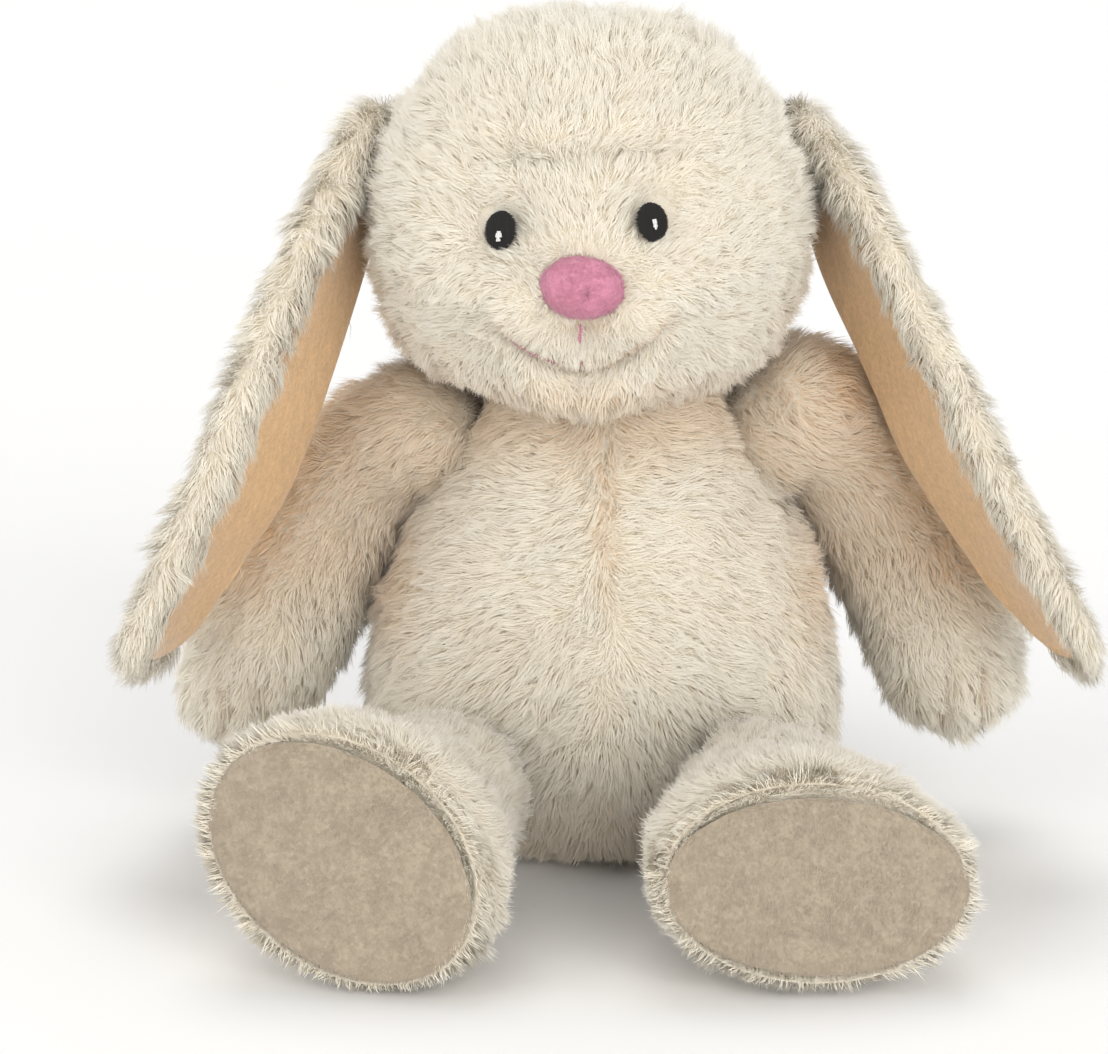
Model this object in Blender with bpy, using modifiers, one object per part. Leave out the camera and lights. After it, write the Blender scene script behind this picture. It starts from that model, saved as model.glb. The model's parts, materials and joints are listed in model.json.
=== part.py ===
"""Seated lop-eared plush rabbit, modelled the way it is sewn.

Every limb is a fur-fabric cover that is open at its seam, with its own stuffing inside.
The rabbit faces -Y, +X is to the right of someone who looks at its face, and it sits on z = 0.
All sizes are metres.
"""

import math

import bmesh
import bpy
from mathutils import Matrix, Vector

# Driving dimensions
SEAM_GAP = 0.0005  # clearance between pieces that are sewn together
FUR_WALL = 0.007  # backing cloth and the pressed roots of the pile
STUFFING_CLEARANCE = 0.0025  # between a cover's inner wall and its stuffing
LINING_THICKNESS = 0.0020  # short velour in the ears and on the soles
EAR_BACK_THICKNESS = 0.0070
HEAD_CENTRE = Vector((-0.0055, -0.014, 0.2350))
NECK_HEIGHT = 0.1835
NECK_RADIUS = 0.036
FACE_X = -0.0090  # the face is turned a little to its own right
EYES_X = -0.0106
EYE_HEIGHT = 0.2410
EYE_SPACING = 0.0530
HEAD_ROLL = math.radians(3.7)  # one eye sits higher than the other
EYE_WIDTH = 0.0120
EYE_LENGTH = 0.0133
EYE_THICKNESS = 0.0014
NOSE_WIDTH = 0.0315
NOSE_DEPTH = 0.0100
NOSE_LENGTH = 0.0235
NOSE_HEIGHT = 0.2215
SHOULDER = Vector((0.0580, 0.0, 0.1500))
EAR_ROOT = Vector((0.0700, 0.006, 0.2660))  # before the sideways shift of the head
THREAD_RADIUS = 0.0006
CORE_SIDES = 12
LIMB_SIDES = 10

# Height, half width, half depth and centre's y of each level of the torso, from the seat up
TORSO_LEVELS = (
    (0.000, 0.030, 0.026, 0.004),
    (0.000, 0.062, 0.054, 0.004),
    (0.015, 0.084, 0.072, 0.004),
    (0.048, 0.094, 0.083, 0.003),
    (0.085, 0.085, 0.077, 0.000),
    (0.122, 0.069, 0.063, -0.003),
    (0.152, 0.049, 0.044, -0.008),
    (NECK_HEIGHT - SEAM_GAP, NECK_RADIUS - 0.001, NECK_RADIUS - 0.002, -0.013),
)
# Height above the head's centre and radius of each level of the head, from the neck seam up
HEAD_LEVELS = (
    (NECK_HEIGHT + SEAM_GAP - HEAD_CENTRE.z, NECK_RADIUS),
    (-0.0530, 0.0490),
    (-0.0455, 0.0715),
    (-0.0150, 0.0825),
    (0.0200, 0.0800),
    (0.0500, 0.0590),
    (0.0680, 0.0300),
)
HEAD_DEPTH_FACTOR = 0.95
STUFFING_FLOOR = -0.0440  # the head's stuffing is flat below, over the neck seam
CHIN_DROP = 0.0075
MUZZLE_HEIGHT = 0.2060
MUZZLE_PROUD = 0.013
MUZZLE_HALF_WIDTH = 0.034
MUZZLE_HALF_HEIGHT = 0.026

ARMHOLE_AXIS = (0.966, 0.0, 0.259)
# Centre, direction, radius and flatness of each section of the arms, from the armhole to the paw.
# The two paws hang a little differently.
ARMS = {
    "right": (
        ((0.0585, 0.000, 0.1503), ARMHOLE_AXIS, 0.0220, 1.0),
        ((0.0755, 0.004, 0.1575), (0.97, 0.10, -0.24), 0.0280, 0.90),
        ((0.0910, 0.011, 0.1390), (0.73, 0.12, -0.68), 0.0270, 0.82),
        ((0.1068, 0.015, 0.1145), (0.54, -0.04, -0.84), 0.0262, 0.82),
        ((0.1205, 0.011, 0.0870), (0.45, -0.22, -0.87), 0.0278, 0.82),
        ((0.1315, 0.003, 0.0600), (0.28, -0.26, -0.92), 0.0290, 0.84),
        ((0.1335, -0.004, 0.0395), (0.05, -0.22, -0.97), 0.0190, 0.84),
    ),
    "left": (
        ((0.0585, 0.000, 0.1503), ARMHOLE_AXIS, 0.0220, 1.0),
        ((0.0735, 0.004, 0.1515), (0.95, 0.10, -0.31), 0.0268, 0.90),
        ((0.0900, 0.011, 0.1350), (0.72, 0.12, -0.69), 0.0262, 0.82),
        ((0.1065, 0.014, 0.1130), (0.54, -0.06, -0.84), 0.0272, 0.82),
        ((0.1185, 0.009, 0.0850), (0.50, -0.26, -0.82), 0.0298, 0.82),
        ((0.1315, -0.002, 0.0560), (0.40, -0.28, -0.87), 0.0295, 0.84),
        ((0.1415, -0.009, 0.0355), (0.28, -0.22, -0.93), 0.0195, 0.84),
    ),
}
# Centre, way down, half width, tilt in degrees and thickness factor of each section of an ear. The ears hang
# forward of the arms.
EAR_SECTIONS = (
    ((0.0700, 0.006, 0.2660), (0.62, -0.78), 0.018, 8, 0.80),
    ((0.0770, 0.001, 0.2540), (0.46, -0.89), 0.025, 13, 1.0),
    ((0.0870, -0.013, 0.2277), (0.40, -0.92), 0.030, 19, 1.0),
    ((0.1003, -0.028, 0.1972), (0.39, -0.92), 0.032, 23, 1.0),
    ((0.1129, -0.041, 0.1662), (0.42, -0.91), 0.033, 25, 1.0),
    ((0.1288, -0.046, 0.1335), (0.47, -0.88), 0.033, 23, 1.0),
    ((0.1475, -0.046, 0.1015), (0.56, -0.83), 0.030, 20, 1.0),
    ((0.1700, -0.044, 0.0672), (0.62, -0.78), 0.020, 17, 0.85),
)
EAR_SPLAY = 0.0425  # the ears hang from a head that sits aside, and both lean back towards the middle
LEGS = {
    # hip: centre of the rounded thigh end, on the lifting axis; sole: centre of the sole
    "left": {
        "hip": (-0.0600, -0.0920, 0.0385),
        "sole": (-0.0880, -0.1720, 0.0450),
        "facing": (-0.16, -0.97, 0.16),
        "half_long": 0.0565,
        "half_short": 0.0430,
        "roll": math.radians(-35),
    },
    "right": {
        "hip": (0.0560, -0.0925, 0.0360),
        "sole": (0.0680, -0.1780, 0.0385),
        "facing": (0.10, -0.98, 0.12),
        "half_long": 0.0585,
        "half_short": 0.0390,
        "roll": math.radians(-4),
    },
}
THIGH_RADIUS = 0.0330
TAIL_CENTRE = Vector((0.002, 0.0985, 0.0480))
TAIL_RADIUS = 0.0200

# Colour, roughness of each material
FINISHES = {
    "cream_fur": ((0.86, 0.80, 0.69, 1), 0.95),
    "peach_velour": ((0.85, 0.66, 0.48, 1), 0.90),
    "sole_plush": ((0.58, 0.49, 0.38, 1), 0.92),
    "nose_felt": ((0.68, 0.24, 0.37, 1), 0.90),
    "black_embroidery": ((0.012, 0.010, 0.009, 1), 0.55),
    "white_embroidery": ((0.85, 0.85, 0.83, 1), 0.60),
    "pink_thread": ((0.60, 0.20, 0.30, 1), 0.70),
    "cream_thread": ((0.62, 0.53, 0.41, 1), 0.75),
    "polyester_stuffing": ((0.90, 0.90, 0.89, 1), 1.00),
    "pellet_cloth": ((0.45, 0.45, 0.43, 1), 0.90),
}


def clear_scene():
    for thing in list(bpy.data.objects):
        bpy.data.objects.remove(thing, do_unlink=True)


def material(name):
    """The named Principled material, made when it is first asked for."""
    found = bpy.data.materials.get(name)
    if found:
        return found
    colour, roughness = FINISHES[name]
    made = bpy.data.materials.new(name)
    made.use_nodes = True
    shader = made.node_tree.nodes["Principled BSDF"]
    shader.inputs["Base Color"].default_value = colour
    shader.inputs["Roughness"].default_value = roughness
    shader.inputs["Metallic"].default_value = 0.0
    return made


def section(centre, along, half_side, half_top, sides, up=(0, 1, 0), roll=0.0):
    """Corners of an ellipse square to `along`, counter-clockwise about it; half_top lies towards `up`."""
    along = Vector(along).normalized()
    side = Vector(up).cross(along).normalized()
    top = along.cross(side)
    side, top = (
        side * math.cos(roll) + top * math.sin(roll),
        top * math.cos(roll) - side * math.sin(roll),
    )
    corners = []
    for index in range(sides):
        turn = 2 * math.pi * index / sides
        corners.append(Vector(centre) + side * half_side * math.cos(turn) + top * half_top * math.sin(turn))
    return corners


def cage(name, sections, open_start=False, open_end=False):
    """A mesh through equal rings of corners, capped at each end that isn't open."""
    shape = bmesh.new()
    rings = [[shape.verts.new(corner) for corner in ring] for ring in sections]
    count = len(rings[0])
    for lower, upper in zip(rings, rings[1:]):
        for index in range(count):
            following = (index + 1) % count
            shape.faces.new((lower[index], lower[following], upper[following], upper[index]))
    if not open_start:
        shape.faces.new(reversed(rings[0]))
    if not open_end:
        shape.faces.new(rings[-1])
    mesh = bpy.data.meshes.new(name)
    shape.to_mesh(mesh)
    shape.free()
    mesh.shade_smooth()
    return mesh


def add_piece(name, mesh, finish, collection, origin=(0, 0, 0)):
    """Links a mesh as a piece, with its origin on the point that it turns about."""
    mesh.transform(Matrix.Translation(-Vector(origin)))
    mesh.materials.append(material(finish))
    piece = bpy.data.objects.new(name, mesh)
    piece.location = origin
    collection.objects.link(piece)
    return piece


def soften(piece, wall=0.0):
    """Rounds a cage off and, for a cover, gives it a wall on its inner side."""
    rounding = piece.modifiers.new("Rounded", "SUBSURF")
    rounding.levels = rounding.render_levels = 1
    if wall:
        shell = piece.modifiers.new("Wall", "SOLIDIFY")
        shell.thickness = wall
        shell.offset = -1.0
        shell.use_even_offset = False
    return piece


def mirrored(point, side):
    """A point or direction of the right side, carried over to the given side."""
    return Vector((point[0] if side == "right" else -point[0], point[1], point[2]))


def find_surface(piece, start, towards):
    """Where a straight line from `start` first meets a piece, and the surface's direction there."""
    bpy.context.view_layer.update()
    evaluated = piece.evaluated_get(bpy.context.evaluated_depsgraph_get())
    into = evaluated.matrix_world.inverted()
    hit, place, normal, _ = evaluated.ray_cast(into @ Vector(start), into.to_3x3() @ Vector(towards))
    if not hit:
        raise ValueError(f"no surface of {piece.name} from {start} towards {towards}")
    return evaluated.matrix_world @ place, (evaluated.matrix_world.to_3x3() @ normal).normalized()


def build_torso(collection):
    """Body cover, its stuffing, and the bag of plastic pellets that weights the seat."""
    def rings(levels, inset, sides):
        return [
            section((0, centre_y, height), (0, 0, 1), half_x - inset, half_y - inset, sides)
            for height, half_x, half_y, centre_y in levels
        ]

    cover = cage("torso_cover", rings(TORSO_LEVELS, 0.0, CORE_SIDES), open_end=True)
    soften(add_piece("torso_cover", cover, "cream_fur", collection), FUR_WALL)

    inset = FUR_WALL + STUFFING_CLEARANCE
    bag_top = 0.036
    filling_levels = [
        (bag_top + 0.001, 0.070 + inset, 0.060 + inset, 0.003),
        *[level for level in TORSO_LEVELS if 0.04 < level[0] < 0.16],
        (NECK_HEIGHT - 0.006, NECK_RADIUS, NECK_RADIUS, -0.011),
    ]
    filling = cage("torso_stuffing", rings(filling_levels, inset, LIMB_SIDES))
    soften(add_piece("torso_stuffing", filling, "polyester_stuffing", collection))

    bag_levels = [
        (0.0100, 0.030, 0.026, 0.004),
        (0.0115, 0.050, 0.043, 0.004),
        (0.0230, 0.068, 0.057, 0.004),
        (bag_top - 0.0010, 0.052, 0.044, 0.004),
        (bag_top, 0.030, 0.026, 0.004),
    ]
    bag = cage("pellet_bag", rings(bag_levels, 0.0, LIMB_SIDES))
    soften(add_piece("pellet_bag", bag, "pellet_cloth", collection))


def build_tail(collection):
    """A small stuffed ball that is sewn to the back of the seat."""
    def rings(radius, first, sides):
        steps = [first + (1.28 - first) * index / 3 for index in range(4)]
        return [
            section(
                TAIL_CENTRE + Vector((0, math.sin(step) * radius, 0)),
                (0, 1, 0),
                math.cos(step) * radius,
                math.cos(step) * radius,
                sides,
                up=(0, 0, 1),
            )
            for step in steps
        ]

    swell = 1.12  # rounding draws a cage in
    cover = cage("tail_cover", rings(TAIL_RADIUS * swell, -0.85, LIMB_SIDES), open_start=True)
    soften(add_piece("tail_cover", cover, "cream_fur", collection), FUR_WALL * 0.7)
    inner = (TAIL_RADIUS - FUR_WALL * 0.7 - STUFFING_CLEARANCE) * swell
    filling = cage("tail_stuffing", rings(inner, -1.2, LIMB_SIDES - 2))
    soften(add_piece("tail_stuffing", filling, "polyester_stuffing", collection))


def head_rings(inset, sides):
    """The head's levels, with the muzzle pushed out of the face."""
    rings = []
    for height, radius in HEAD_LEVELS:
        lift = height
        if inset:
            lift = max(height * (1 - inset / HEAD_LEVELS[-1][0]), STUFFING_FLOOR)
        ring = section(
            HEAD_CENTRE + Vector((0, 0, lift)),
            (0, 0, 1),
            radius - inset,
            (radius - inset) * HEAD_DEPTH_FACTOR,
            sides,
        )
        for corner in ring:
            if corner.y < HEAD_CENTRE.y:
                forward = (HEAD_CENTRE.y - corner.y) / radius
                low = max(0.0, min(1.0, -height / 0.045)) * max(0.0, min(1.0, (radius - 0.045) / 0.025))
                corner.z -= CHIN_DROP * low * max(0.0, forward - 0.55) / 0.45
                aside = (corner.x - FACE_X) / MUZZLE_HALF_WIDTH
                above = (corner.z - MUZZLE_HEIGHT) / MUZZLE_HALF_HEIGHT
                corner.y -= MUZZLE_PROUD * math.exp(-aside * aside - above * above)
        rings.append(ring)
    return rings


def build_head(collection):
    """Head cover, its stuffing and the sewn-on face."""
    pivot = (HEAD_CENTRE.x, HEAD_CENTRE.y, NECK_HEIGHT)
    cover = cage("head_cover", head_rings(0.0, CORE_SIDES), open_start=True)
    head = soften(add_piece("head_cover", cover, "cream_fur", collection, pivot), FUR_WALL)
    filling = cage("head_stuffing", head_rings(FUR_WALL + STUFFING_CLEARANCE, CORE_SIDES))
    soften(add_piece("head_stuffing", filling, "polyester_stuffing", collection, pivot))
    build_eyes(head, collection)
    build_nose_and_mouth(head, collection)
    return head


def build_eyes(head, collection):
    """Two satin-stitched ovals, each with a small white glint on it."""
    across = Vector((math.cos(HEAD_ROLL), 0, math.sin(HEAD_ROLL)))
    for side, sign in (("left", -1), ("right", 1)):
        aim = Vector((EYES_X, -0.3, EYE_HEIGHT)) + across * sign * EYE_SPACING / 2
        place, outward = find_surface(head, aim, (0, 1, 0))
        turn = Vector((0, 0, 1)).rotation_difference(outward).to_matrix().to_4x4()
        upright = turn.inverted().to_3x3() @ Vector((0, 0, 1))
        turn = turn @ Matrix.Rotation(math.atan2(-upright.x, upright.y), 4, "Z")
        for name, wide, long, lift, finish in (
            ("eye", EYE_WIDTH, EYE_LENGTH, 0.0013, "black_embroidery"),
            ("eye_glint", 0.0022, 0.0034, 0.0013 + EYE_THICKNESS + 0.0003, "white_embroidery"),
        ):
            shape = bmesh.new()
            bmesh.ops.create_cone(
                shape, cap_ends=True, segments=20, radius1=0.5, radius2=0.42, depth=1.0,
                matrix=Matrix.Translation((0, 0, 0.5)),
            )
            thickness = EYE_THICKNESS if name == "eye" else 0.0006
            bmesh.ops.scale(shape, vec=(wide, long, thickness), verts=shape.verts)
            mesh = bpy.data.meshes.new(f"{name}_{side}")
            shape.to_mesh(mesh)
            shape.free()
            mesh.transform(Matrix.Translation(place + outward * lift) @ turn)
            add_piece(f"{name}_{side}", mesh, finish, collection)


def build_nose_and_mouth(head, collection):
    """The padded nose, the stitch under it and the lip seam's stitches."""
    place, outward = find_surface(head, (FACE_X + 0.001, -0.3, NOSE_HEIGHT), (0, 1, 0))
    back = place + outward * 0.0010
    flat = []
    for depth, share in ((0.0, 0.80), (0.0, 0.99), (0.35, 1.0), (0.75, 0.80), (1.0, 0.42)):
        flat.append(
            section(
                back + outward * NOSE_DEPTH * depth,
                outward,
                NOSE_WIDTH / 2 * share * 1.04,
                NOSE_LENGTH / 2 * share * 1.04,
                CORE_SIDES,
                up=(0, 0, 1),
                roll=-HEAD_ROLL,
            )
        )
    soften(add_piece("nose_pad", cage("nose_pad", flat), "nose_felt", collection))

    lip_height = NOSE_HEIGHT - 0.0275
    chin_line = [(FACE_X, NOSE_HEIGHT - 0.0140 - 0.0022 * step) for step in range(4)]
    add_stitch("nose_stitch", head, chin_line, "pink_thread", collection)
    lip_line = []
    for step in range(-6, 7):
        share = step / 6
        lip_line.append((FACE_X + 0.023 * share, lip_height + 0.0100 * share * share + 0.002 * share))
    add_stitch("mouth_thread", head, lip_line, "pink_thread", collection)


def add_stitch(name, ground, points, finish, collection, origin=(0, 0, 0)):
    """A thread that lies on the front of a piece through points given as x and z."""
    curve = bpy.data.curves.new(name, "CURVE")
    curve.dimensions = "3D"
    curve.bevel_depth = THREAD_RADIUS
    curve.bevel_resolution = 2
    curve.use_fill_caps = True
    spline = curve.splines.new("POLY")
    spline.points.add(len(points) - 1)
    for knot, (x, z) in zip(spline.points, points):
        place, outward = find_surface(ground, (x, -0.3, z), (0, 1, 0))
        knot.co = (*(place + outward * (THREAD_RADIUS + 0.0011) - Vector(origin)), 1)
    curve.materials.append(material(finish))
    thread = bpy.data.objects.new(name, curve)
    thread.location = origin
    collection.objects.link(thread)


def hung(point):
    """A point of an ear, moved sideways with the head at the root and less further down."""
    return point + Vector((HEAD_CENTRE.x + (EAR_ROOT.z - point.z) * EAR_SPLAY, 0, 0))


def ear_rings(side, first, width_factor, inner, outer):
    """Flat sections down an ear, between two distances from its middle sheet, outwards positive."""
    rings = []
    for (x, y, z), (run_x, run_z), half_width, tilt, thick in EAR_SECTIONS[first:]:
        along = Vector((run_x, 0, run_z)).normalized()
        level_out = Vector((-along.z, 0, along.x))
        lean = math.radians(tilt)
        across = Vector((0, -1, 0)) * math.cos(lean) + level_out * math.sin(lean)
        out = along.cross(across).normalized()
        if out.dot(level_out) < 0:
            out = -out
        centre = Vector((x, y, z))
        half = half_width * width_factor
        hollow = 0.10 * half  # the lining side is a little hollow
        ring = []
        for place, depth in ((-1, 0.5), (-0.86, 1), (-0.4, 1), (0.4, 1), (0.86, 1), (1, 0.5), (0.86, 0), (0.4, 0), (-0.4, 0), (-0.86, 0)):
            level = inner + (outer - inner) * depth
            rise = hollow * (1 - place * place)
            ring.append(centre + across * half * place + out * (level * thick + rise))
        rings.append([hung(mirrored(corner, side)) for corner in ring])
    if side == "left":
        rings = [list(reversed(ring)) for ring in rings]
    return rings


def build_ear(side, collection):
    """A furry back panel, and the velour lining that faces the body."""
    pivot = hung(mirrored(EAR_ROOT, side))
    back = cage(f"ear_back_{side}", ear_rings(side, 0, 1.0, 0.0, EAR_BACK_THICKNESS))
    soften(add_piece(f"ear_back_{side}", back, "cream_fur", collection, pivot))
    inner = -LINING_THICKNESS - 0.0006
    lining = cage(f"ear_lining_{side}", ear_rings(side, 1, 0.84, inner, -0.0006))
    soften(add_piece(f"ear_lining_{side}", lining, "peach_velour", collection, pivot))


def arm_rings(side, inset, sides):
    rows = ARMS[side]
    rings = []
    for index, (centre, along, radius, flatness) in enumerate(rows):
        place, along = mirrored(centre, side), mirrored(along, side).normalized()
        if inset and index == 0:
            place = place + along * 0.003
        if inset and index == len(rows) - 1:
            place = place - along * inset
        rings.append(section(place, along, radius - inset, radius * flatness - inset, sides))
    return rings


def build_arm(side, collection):
    """Arm cover, open at the shoulder seam, its stuffing and the two threads that shape the fingers."""
    pivot = mirrored(SHOULDER, side)
    cover = cage(f"arm_cover_{side}", arm_rings(side, 0.0, LIMB_SIDES), open_start=True)
    arm = soften(add_piece(f"arm_cover_{side}", cover, "cream_fur", collection, pivot), FUR_WALL)
    inset = FUR_WALL + STUFFING_CLEARANCE
    filling = cage(f"arm_stuffing_{side}", arm_rings(side, inset, LIMB_SIDES - 2))
    soften(add_piece(f"arm_stuffing_{side}", filling, "polyester_stuffing", collection, pivot))
    build_finger_threads(side, arm, collection, pivot)


def build_finger_threads(side, arm, collection, pivot):
    """Two stitched creases on the front of the paw."""
    paw = mirrored(ARMS[side][-2][0], side)
    outward_sign = 1 if side == "right" else -1
    for name, aside in (("inner", -0.006), ("outer", 0.006)):
        heights = [paw.z + 0.008 - 0.004 * step for step in range(6)]
        line = [(paw.x + aside * outward_sign, height) for height in heights]
        add_stitch(f"finger_thread_{name}_{side}", arm, line, "cream_thread", collection, pivot)


def leg_rings(side, inset, sides):
    """The rounded thigh end about the lifting axis, the ankle, and the wide foot."""
    leg = LEGS[side]
    hip, sole = Vector(leg["hip"]), Vector(leg["sole"])
    facing = Vector(leg["facing"]).normalized()
    along = (sole - hip).normalized()
    length = (sole - hip).length
    thigh = THIGH_RADIUS - inset
    up = (0, 0, 1)
    rings = []
    for turn in (-0.95, -0.45):
        rings.append(
            section(hip + along * thigh * math.sin(turn), along, thigh * math.cos(turn), thigh * math.cos(turn), sides, up)
        )
    rings.append(section(hip + along * length * 0.22, along, thigh * 1.0, thigh * 1.0, sides, up))
    for share, long, short in ((0.55, 0.84, 0.88), (0.82, 1.0, 1.0), (1.0, 0.93, 0.92)):
        centre = hip + along * length * share
        if share == 1.0:
            centre = sole - facing * inset
        mean = along.lerp(facing, share)
        rings.append(
            section(
                centre, mean, leg["half_long"] * long - inset, leg["half_short"] * short - inset, sides, up, leg["roll"]
            )
        )
    return rings


def build_leg(side, collection):
    """Leg cover, open at the hip and at the sole, its stuffing, and the sole panel."""
    pivot = LEGS[side]["hip"]
    cover = cage(f"leg_cover_{side}", leg_rings(side, 0.0, CORE_SIDES), open_start=True, open_end=True)
    soften(add_piece(f"leg_cover_{side}", cover, "cream_fur", collection, pivot), FUR_WALL)
    inset = FUR_WALL + STUFFING_CLEARANCE
    filling = cage(f"leg_stuffing_{side}", leg_rings(side, inset, LIMB_SIDES))
    soften(add_piece(f"leg_stuffing_{side}", filling, "polyester_stuffing", collection, pivot))

    leg = LEGS[side]
    facing = Vector(leg["facing"]).normalized()
    panel = []
    for depth, share in ((0.0, 0.90), (0.0, 1.0), (1.0, 1.0), (1.35, 0.90)):
        panel.append(
            section(
                Vector(leg["sole"]) + facing * (LINING_THICKNESS * depth - 0.0040),
                facing,
                (leg["half_long"] * 0.93 - FUR_WALL - 0.0025) * share,
                (leg["half_short"] * 0.92 - FUR_WALL - 0.0025) * share,
                CORE_SIDES,
                (0, 0, 1),
                leg["roll"],
            )
        )
    add_piece(f"sole_{side}", cage(f"sole_{side}", panel), "sole_plush", collection, pivot)


def main():
    clear_scene()
    collection = bpy.data.collections.new("plush_rabbit")
    bpy.context.scene.collection.children.link(collection)
    build_torso(collection)
    build_tail(collection)
    build_head(collection)
    for side in ("left", "right"):
        build_ear(side, collection)
        build_arm(side, collection)
        build_leg(side, collection)


main()
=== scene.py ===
"""Seated plush rabbit: long-pile fur, velour ears and soles, embroidered eyes and a padded nose.

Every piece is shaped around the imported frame, in metres. The rabbit faces -Y and sits on z = 0.
"""

import json
import math

import bmesh
import bpy
import numpy as np
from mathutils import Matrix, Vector
from mathutils.bvhtree import BVHTree
from mathutils.kdtree import KDTree


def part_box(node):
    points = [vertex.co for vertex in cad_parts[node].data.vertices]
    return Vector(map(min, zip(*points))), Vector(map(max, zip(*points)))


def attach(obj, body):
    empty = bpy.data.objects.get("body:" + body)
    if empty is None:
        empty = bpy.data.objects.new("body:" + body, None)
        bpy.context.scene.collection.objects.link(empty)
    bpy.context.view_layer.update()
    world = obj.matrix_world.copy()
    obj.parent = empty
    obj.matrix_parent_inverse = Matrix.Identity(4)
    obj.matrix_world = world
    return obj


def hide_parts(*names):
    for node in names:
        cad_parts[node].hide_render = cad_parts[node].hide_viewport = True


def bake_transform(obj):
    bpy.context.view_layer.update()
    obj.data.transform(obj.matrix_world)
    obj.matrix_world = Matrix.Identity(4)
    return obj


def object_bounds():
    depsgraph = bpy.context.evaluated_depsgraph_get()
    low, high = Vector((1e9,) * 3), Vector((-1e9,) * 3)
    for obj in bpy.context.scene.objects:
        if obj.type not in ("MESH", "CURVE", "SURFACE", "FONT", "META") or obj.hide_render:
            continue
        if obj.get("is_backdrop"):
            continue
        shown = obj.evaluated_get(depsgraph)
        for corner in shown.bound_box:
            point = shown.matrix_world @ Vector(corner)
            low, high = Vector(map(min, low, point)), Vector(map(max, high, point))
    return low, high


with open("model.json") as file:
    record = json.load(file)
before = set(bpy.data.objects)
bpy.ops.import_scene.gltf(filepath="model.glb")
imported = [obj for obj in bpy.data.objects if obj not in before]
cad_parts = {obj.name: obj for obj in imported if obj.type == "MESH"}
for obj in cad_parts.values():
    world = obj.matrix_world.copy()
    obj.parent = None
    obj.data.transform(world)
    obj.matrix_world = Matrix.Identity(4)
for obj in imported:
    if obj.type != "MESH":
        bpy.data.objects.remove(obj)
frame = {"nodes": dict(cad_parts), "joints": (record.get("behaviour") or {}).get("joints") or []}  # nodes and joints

CAD_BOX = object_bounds()

bl_info = {
    "name": "Plush Rabbit",
    "version": (1, 0, 0),
    "blender": (4, 5, 0),
    "location": "View3D > Sidebar > Plush",
    "description": "Builds a seated plush rabbit, piece by piece, around its frame",
    "category": "Add Mesh",
}

SIDES = (("left", -1), ("right", 1))
FLOOR_CLEARANCE = 0.0006
FACED = np.array((0.0, -0.97, 0.24))  # locks of fur on the flanks turn their flat faces this way
MOST_STRANDS = 62000  # in one fur piece, so that it stays a light mesh
LOCK_STEPS = np.array((0.0, 0.48, 1.0))  # root, bend and tip of a lock, as shares of its length
LOCK_CORNERS = (0, 0, 1, 1, 2)  # the step that each corner of a lock's ribbon stands at
JOINTS = {joint["name"]: joint for joint in frame["joints"]}


# ---------------------------------------------------------------- settings


def colour_setting(name, description, default):
    return bpy.props.FloatVectorProperty(
        name=name, description=description, default=default, subtype="COLOR", size=3, min=0, max=1
    )


def length_setting(name, description, default):
    return bpy.props.FloatProperty(
        name=name, description=description, default=default, min=0, subtype="DISTANCE", unit="LENGTH",
        precision=4,
    )


def number_setting(name, description, default, low=0.0, high=10.0):
    return bpy.props.FloatProperty(name=name, description=description, default=default, min=low, max=high)


class FurSettings(bpy.types.PropertyGroup):
    pile: length_setting("Pile", "Length of the fur on the body", 0.0115)
    strand: length_setting("Strand", "Width of a lock of fibres at its root", 0.00028)
    tuft: length_setting("Tuft", "Distance between the small tufts", 0.0030)
    clump: length_setting("Clump", "Distance between the large tufts", 0.0085)
    swirl: length_setting("Swirl", "Distance over which the combing changes direction", 0.0120)
    density: number_setting("Density", "Locks of fibres on each square millimetre", 2.0)
    tip: colour_setting("Tip colour", "Colour of the outer pile", (0.91, 0.885, 0.80))
    # Deeper and tanner than the tips: the fibres' own tone, also darkened and warmed as painted shade deep
    # in the pile.
    root: colour_setting("Root colour", "Colour deep in the pile", (0.88, 0.77, 0.59))
    # Painted shade colour: mixed into the fur in folds and creases, under the head and ears and near the
    # seat, where shade falls, and on the arms as painted light bounced from the ear linings.
    warm: colour_setting("Warm colour", "Colour in the folds and under the ears", (0.74, 0.46, 0.23))


class VelourSettings(bpy.types.PropertyGroup):
    lining: colour_setting("Lining", "Velour inside the ears", (0.84, 0.55, 0.30))
    sole: colour_setting("Sole", "Short plush of the soles", (0.43, 0.36, 0.275))
    nose: colour_setting("Nose", "Velour of the nose", (0.64, 0.265, 0.37))


class StageSettings(bpy.types.PropertyGroup):
    aim: bpy.props.FloatVectorProperty(
        name="Aim", description="Point that the camera looks at", default=(-0.0181, -0.030, 0.1224),
        subtype="XYZ", unit="LENGTH", size=3,
    )
    elevation: bpy.props.FloatProperty(
        name="Elevation", description="Camera above level", default=math.radians(14), subtype="ANGLE",
        unit="ROTATION",
    )
    distance: length_setting("Distance", "From the camera to the rabbit", 1.35)
    lens: number_setting("Lens", "Focal length in millimetres", 121.8, 10, 300)
    floor: colour_setting("Floor", "Colour of the floor", (0.96, 0.96, 0.96))


# ---------------------------------------------------------------- materials


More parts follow.
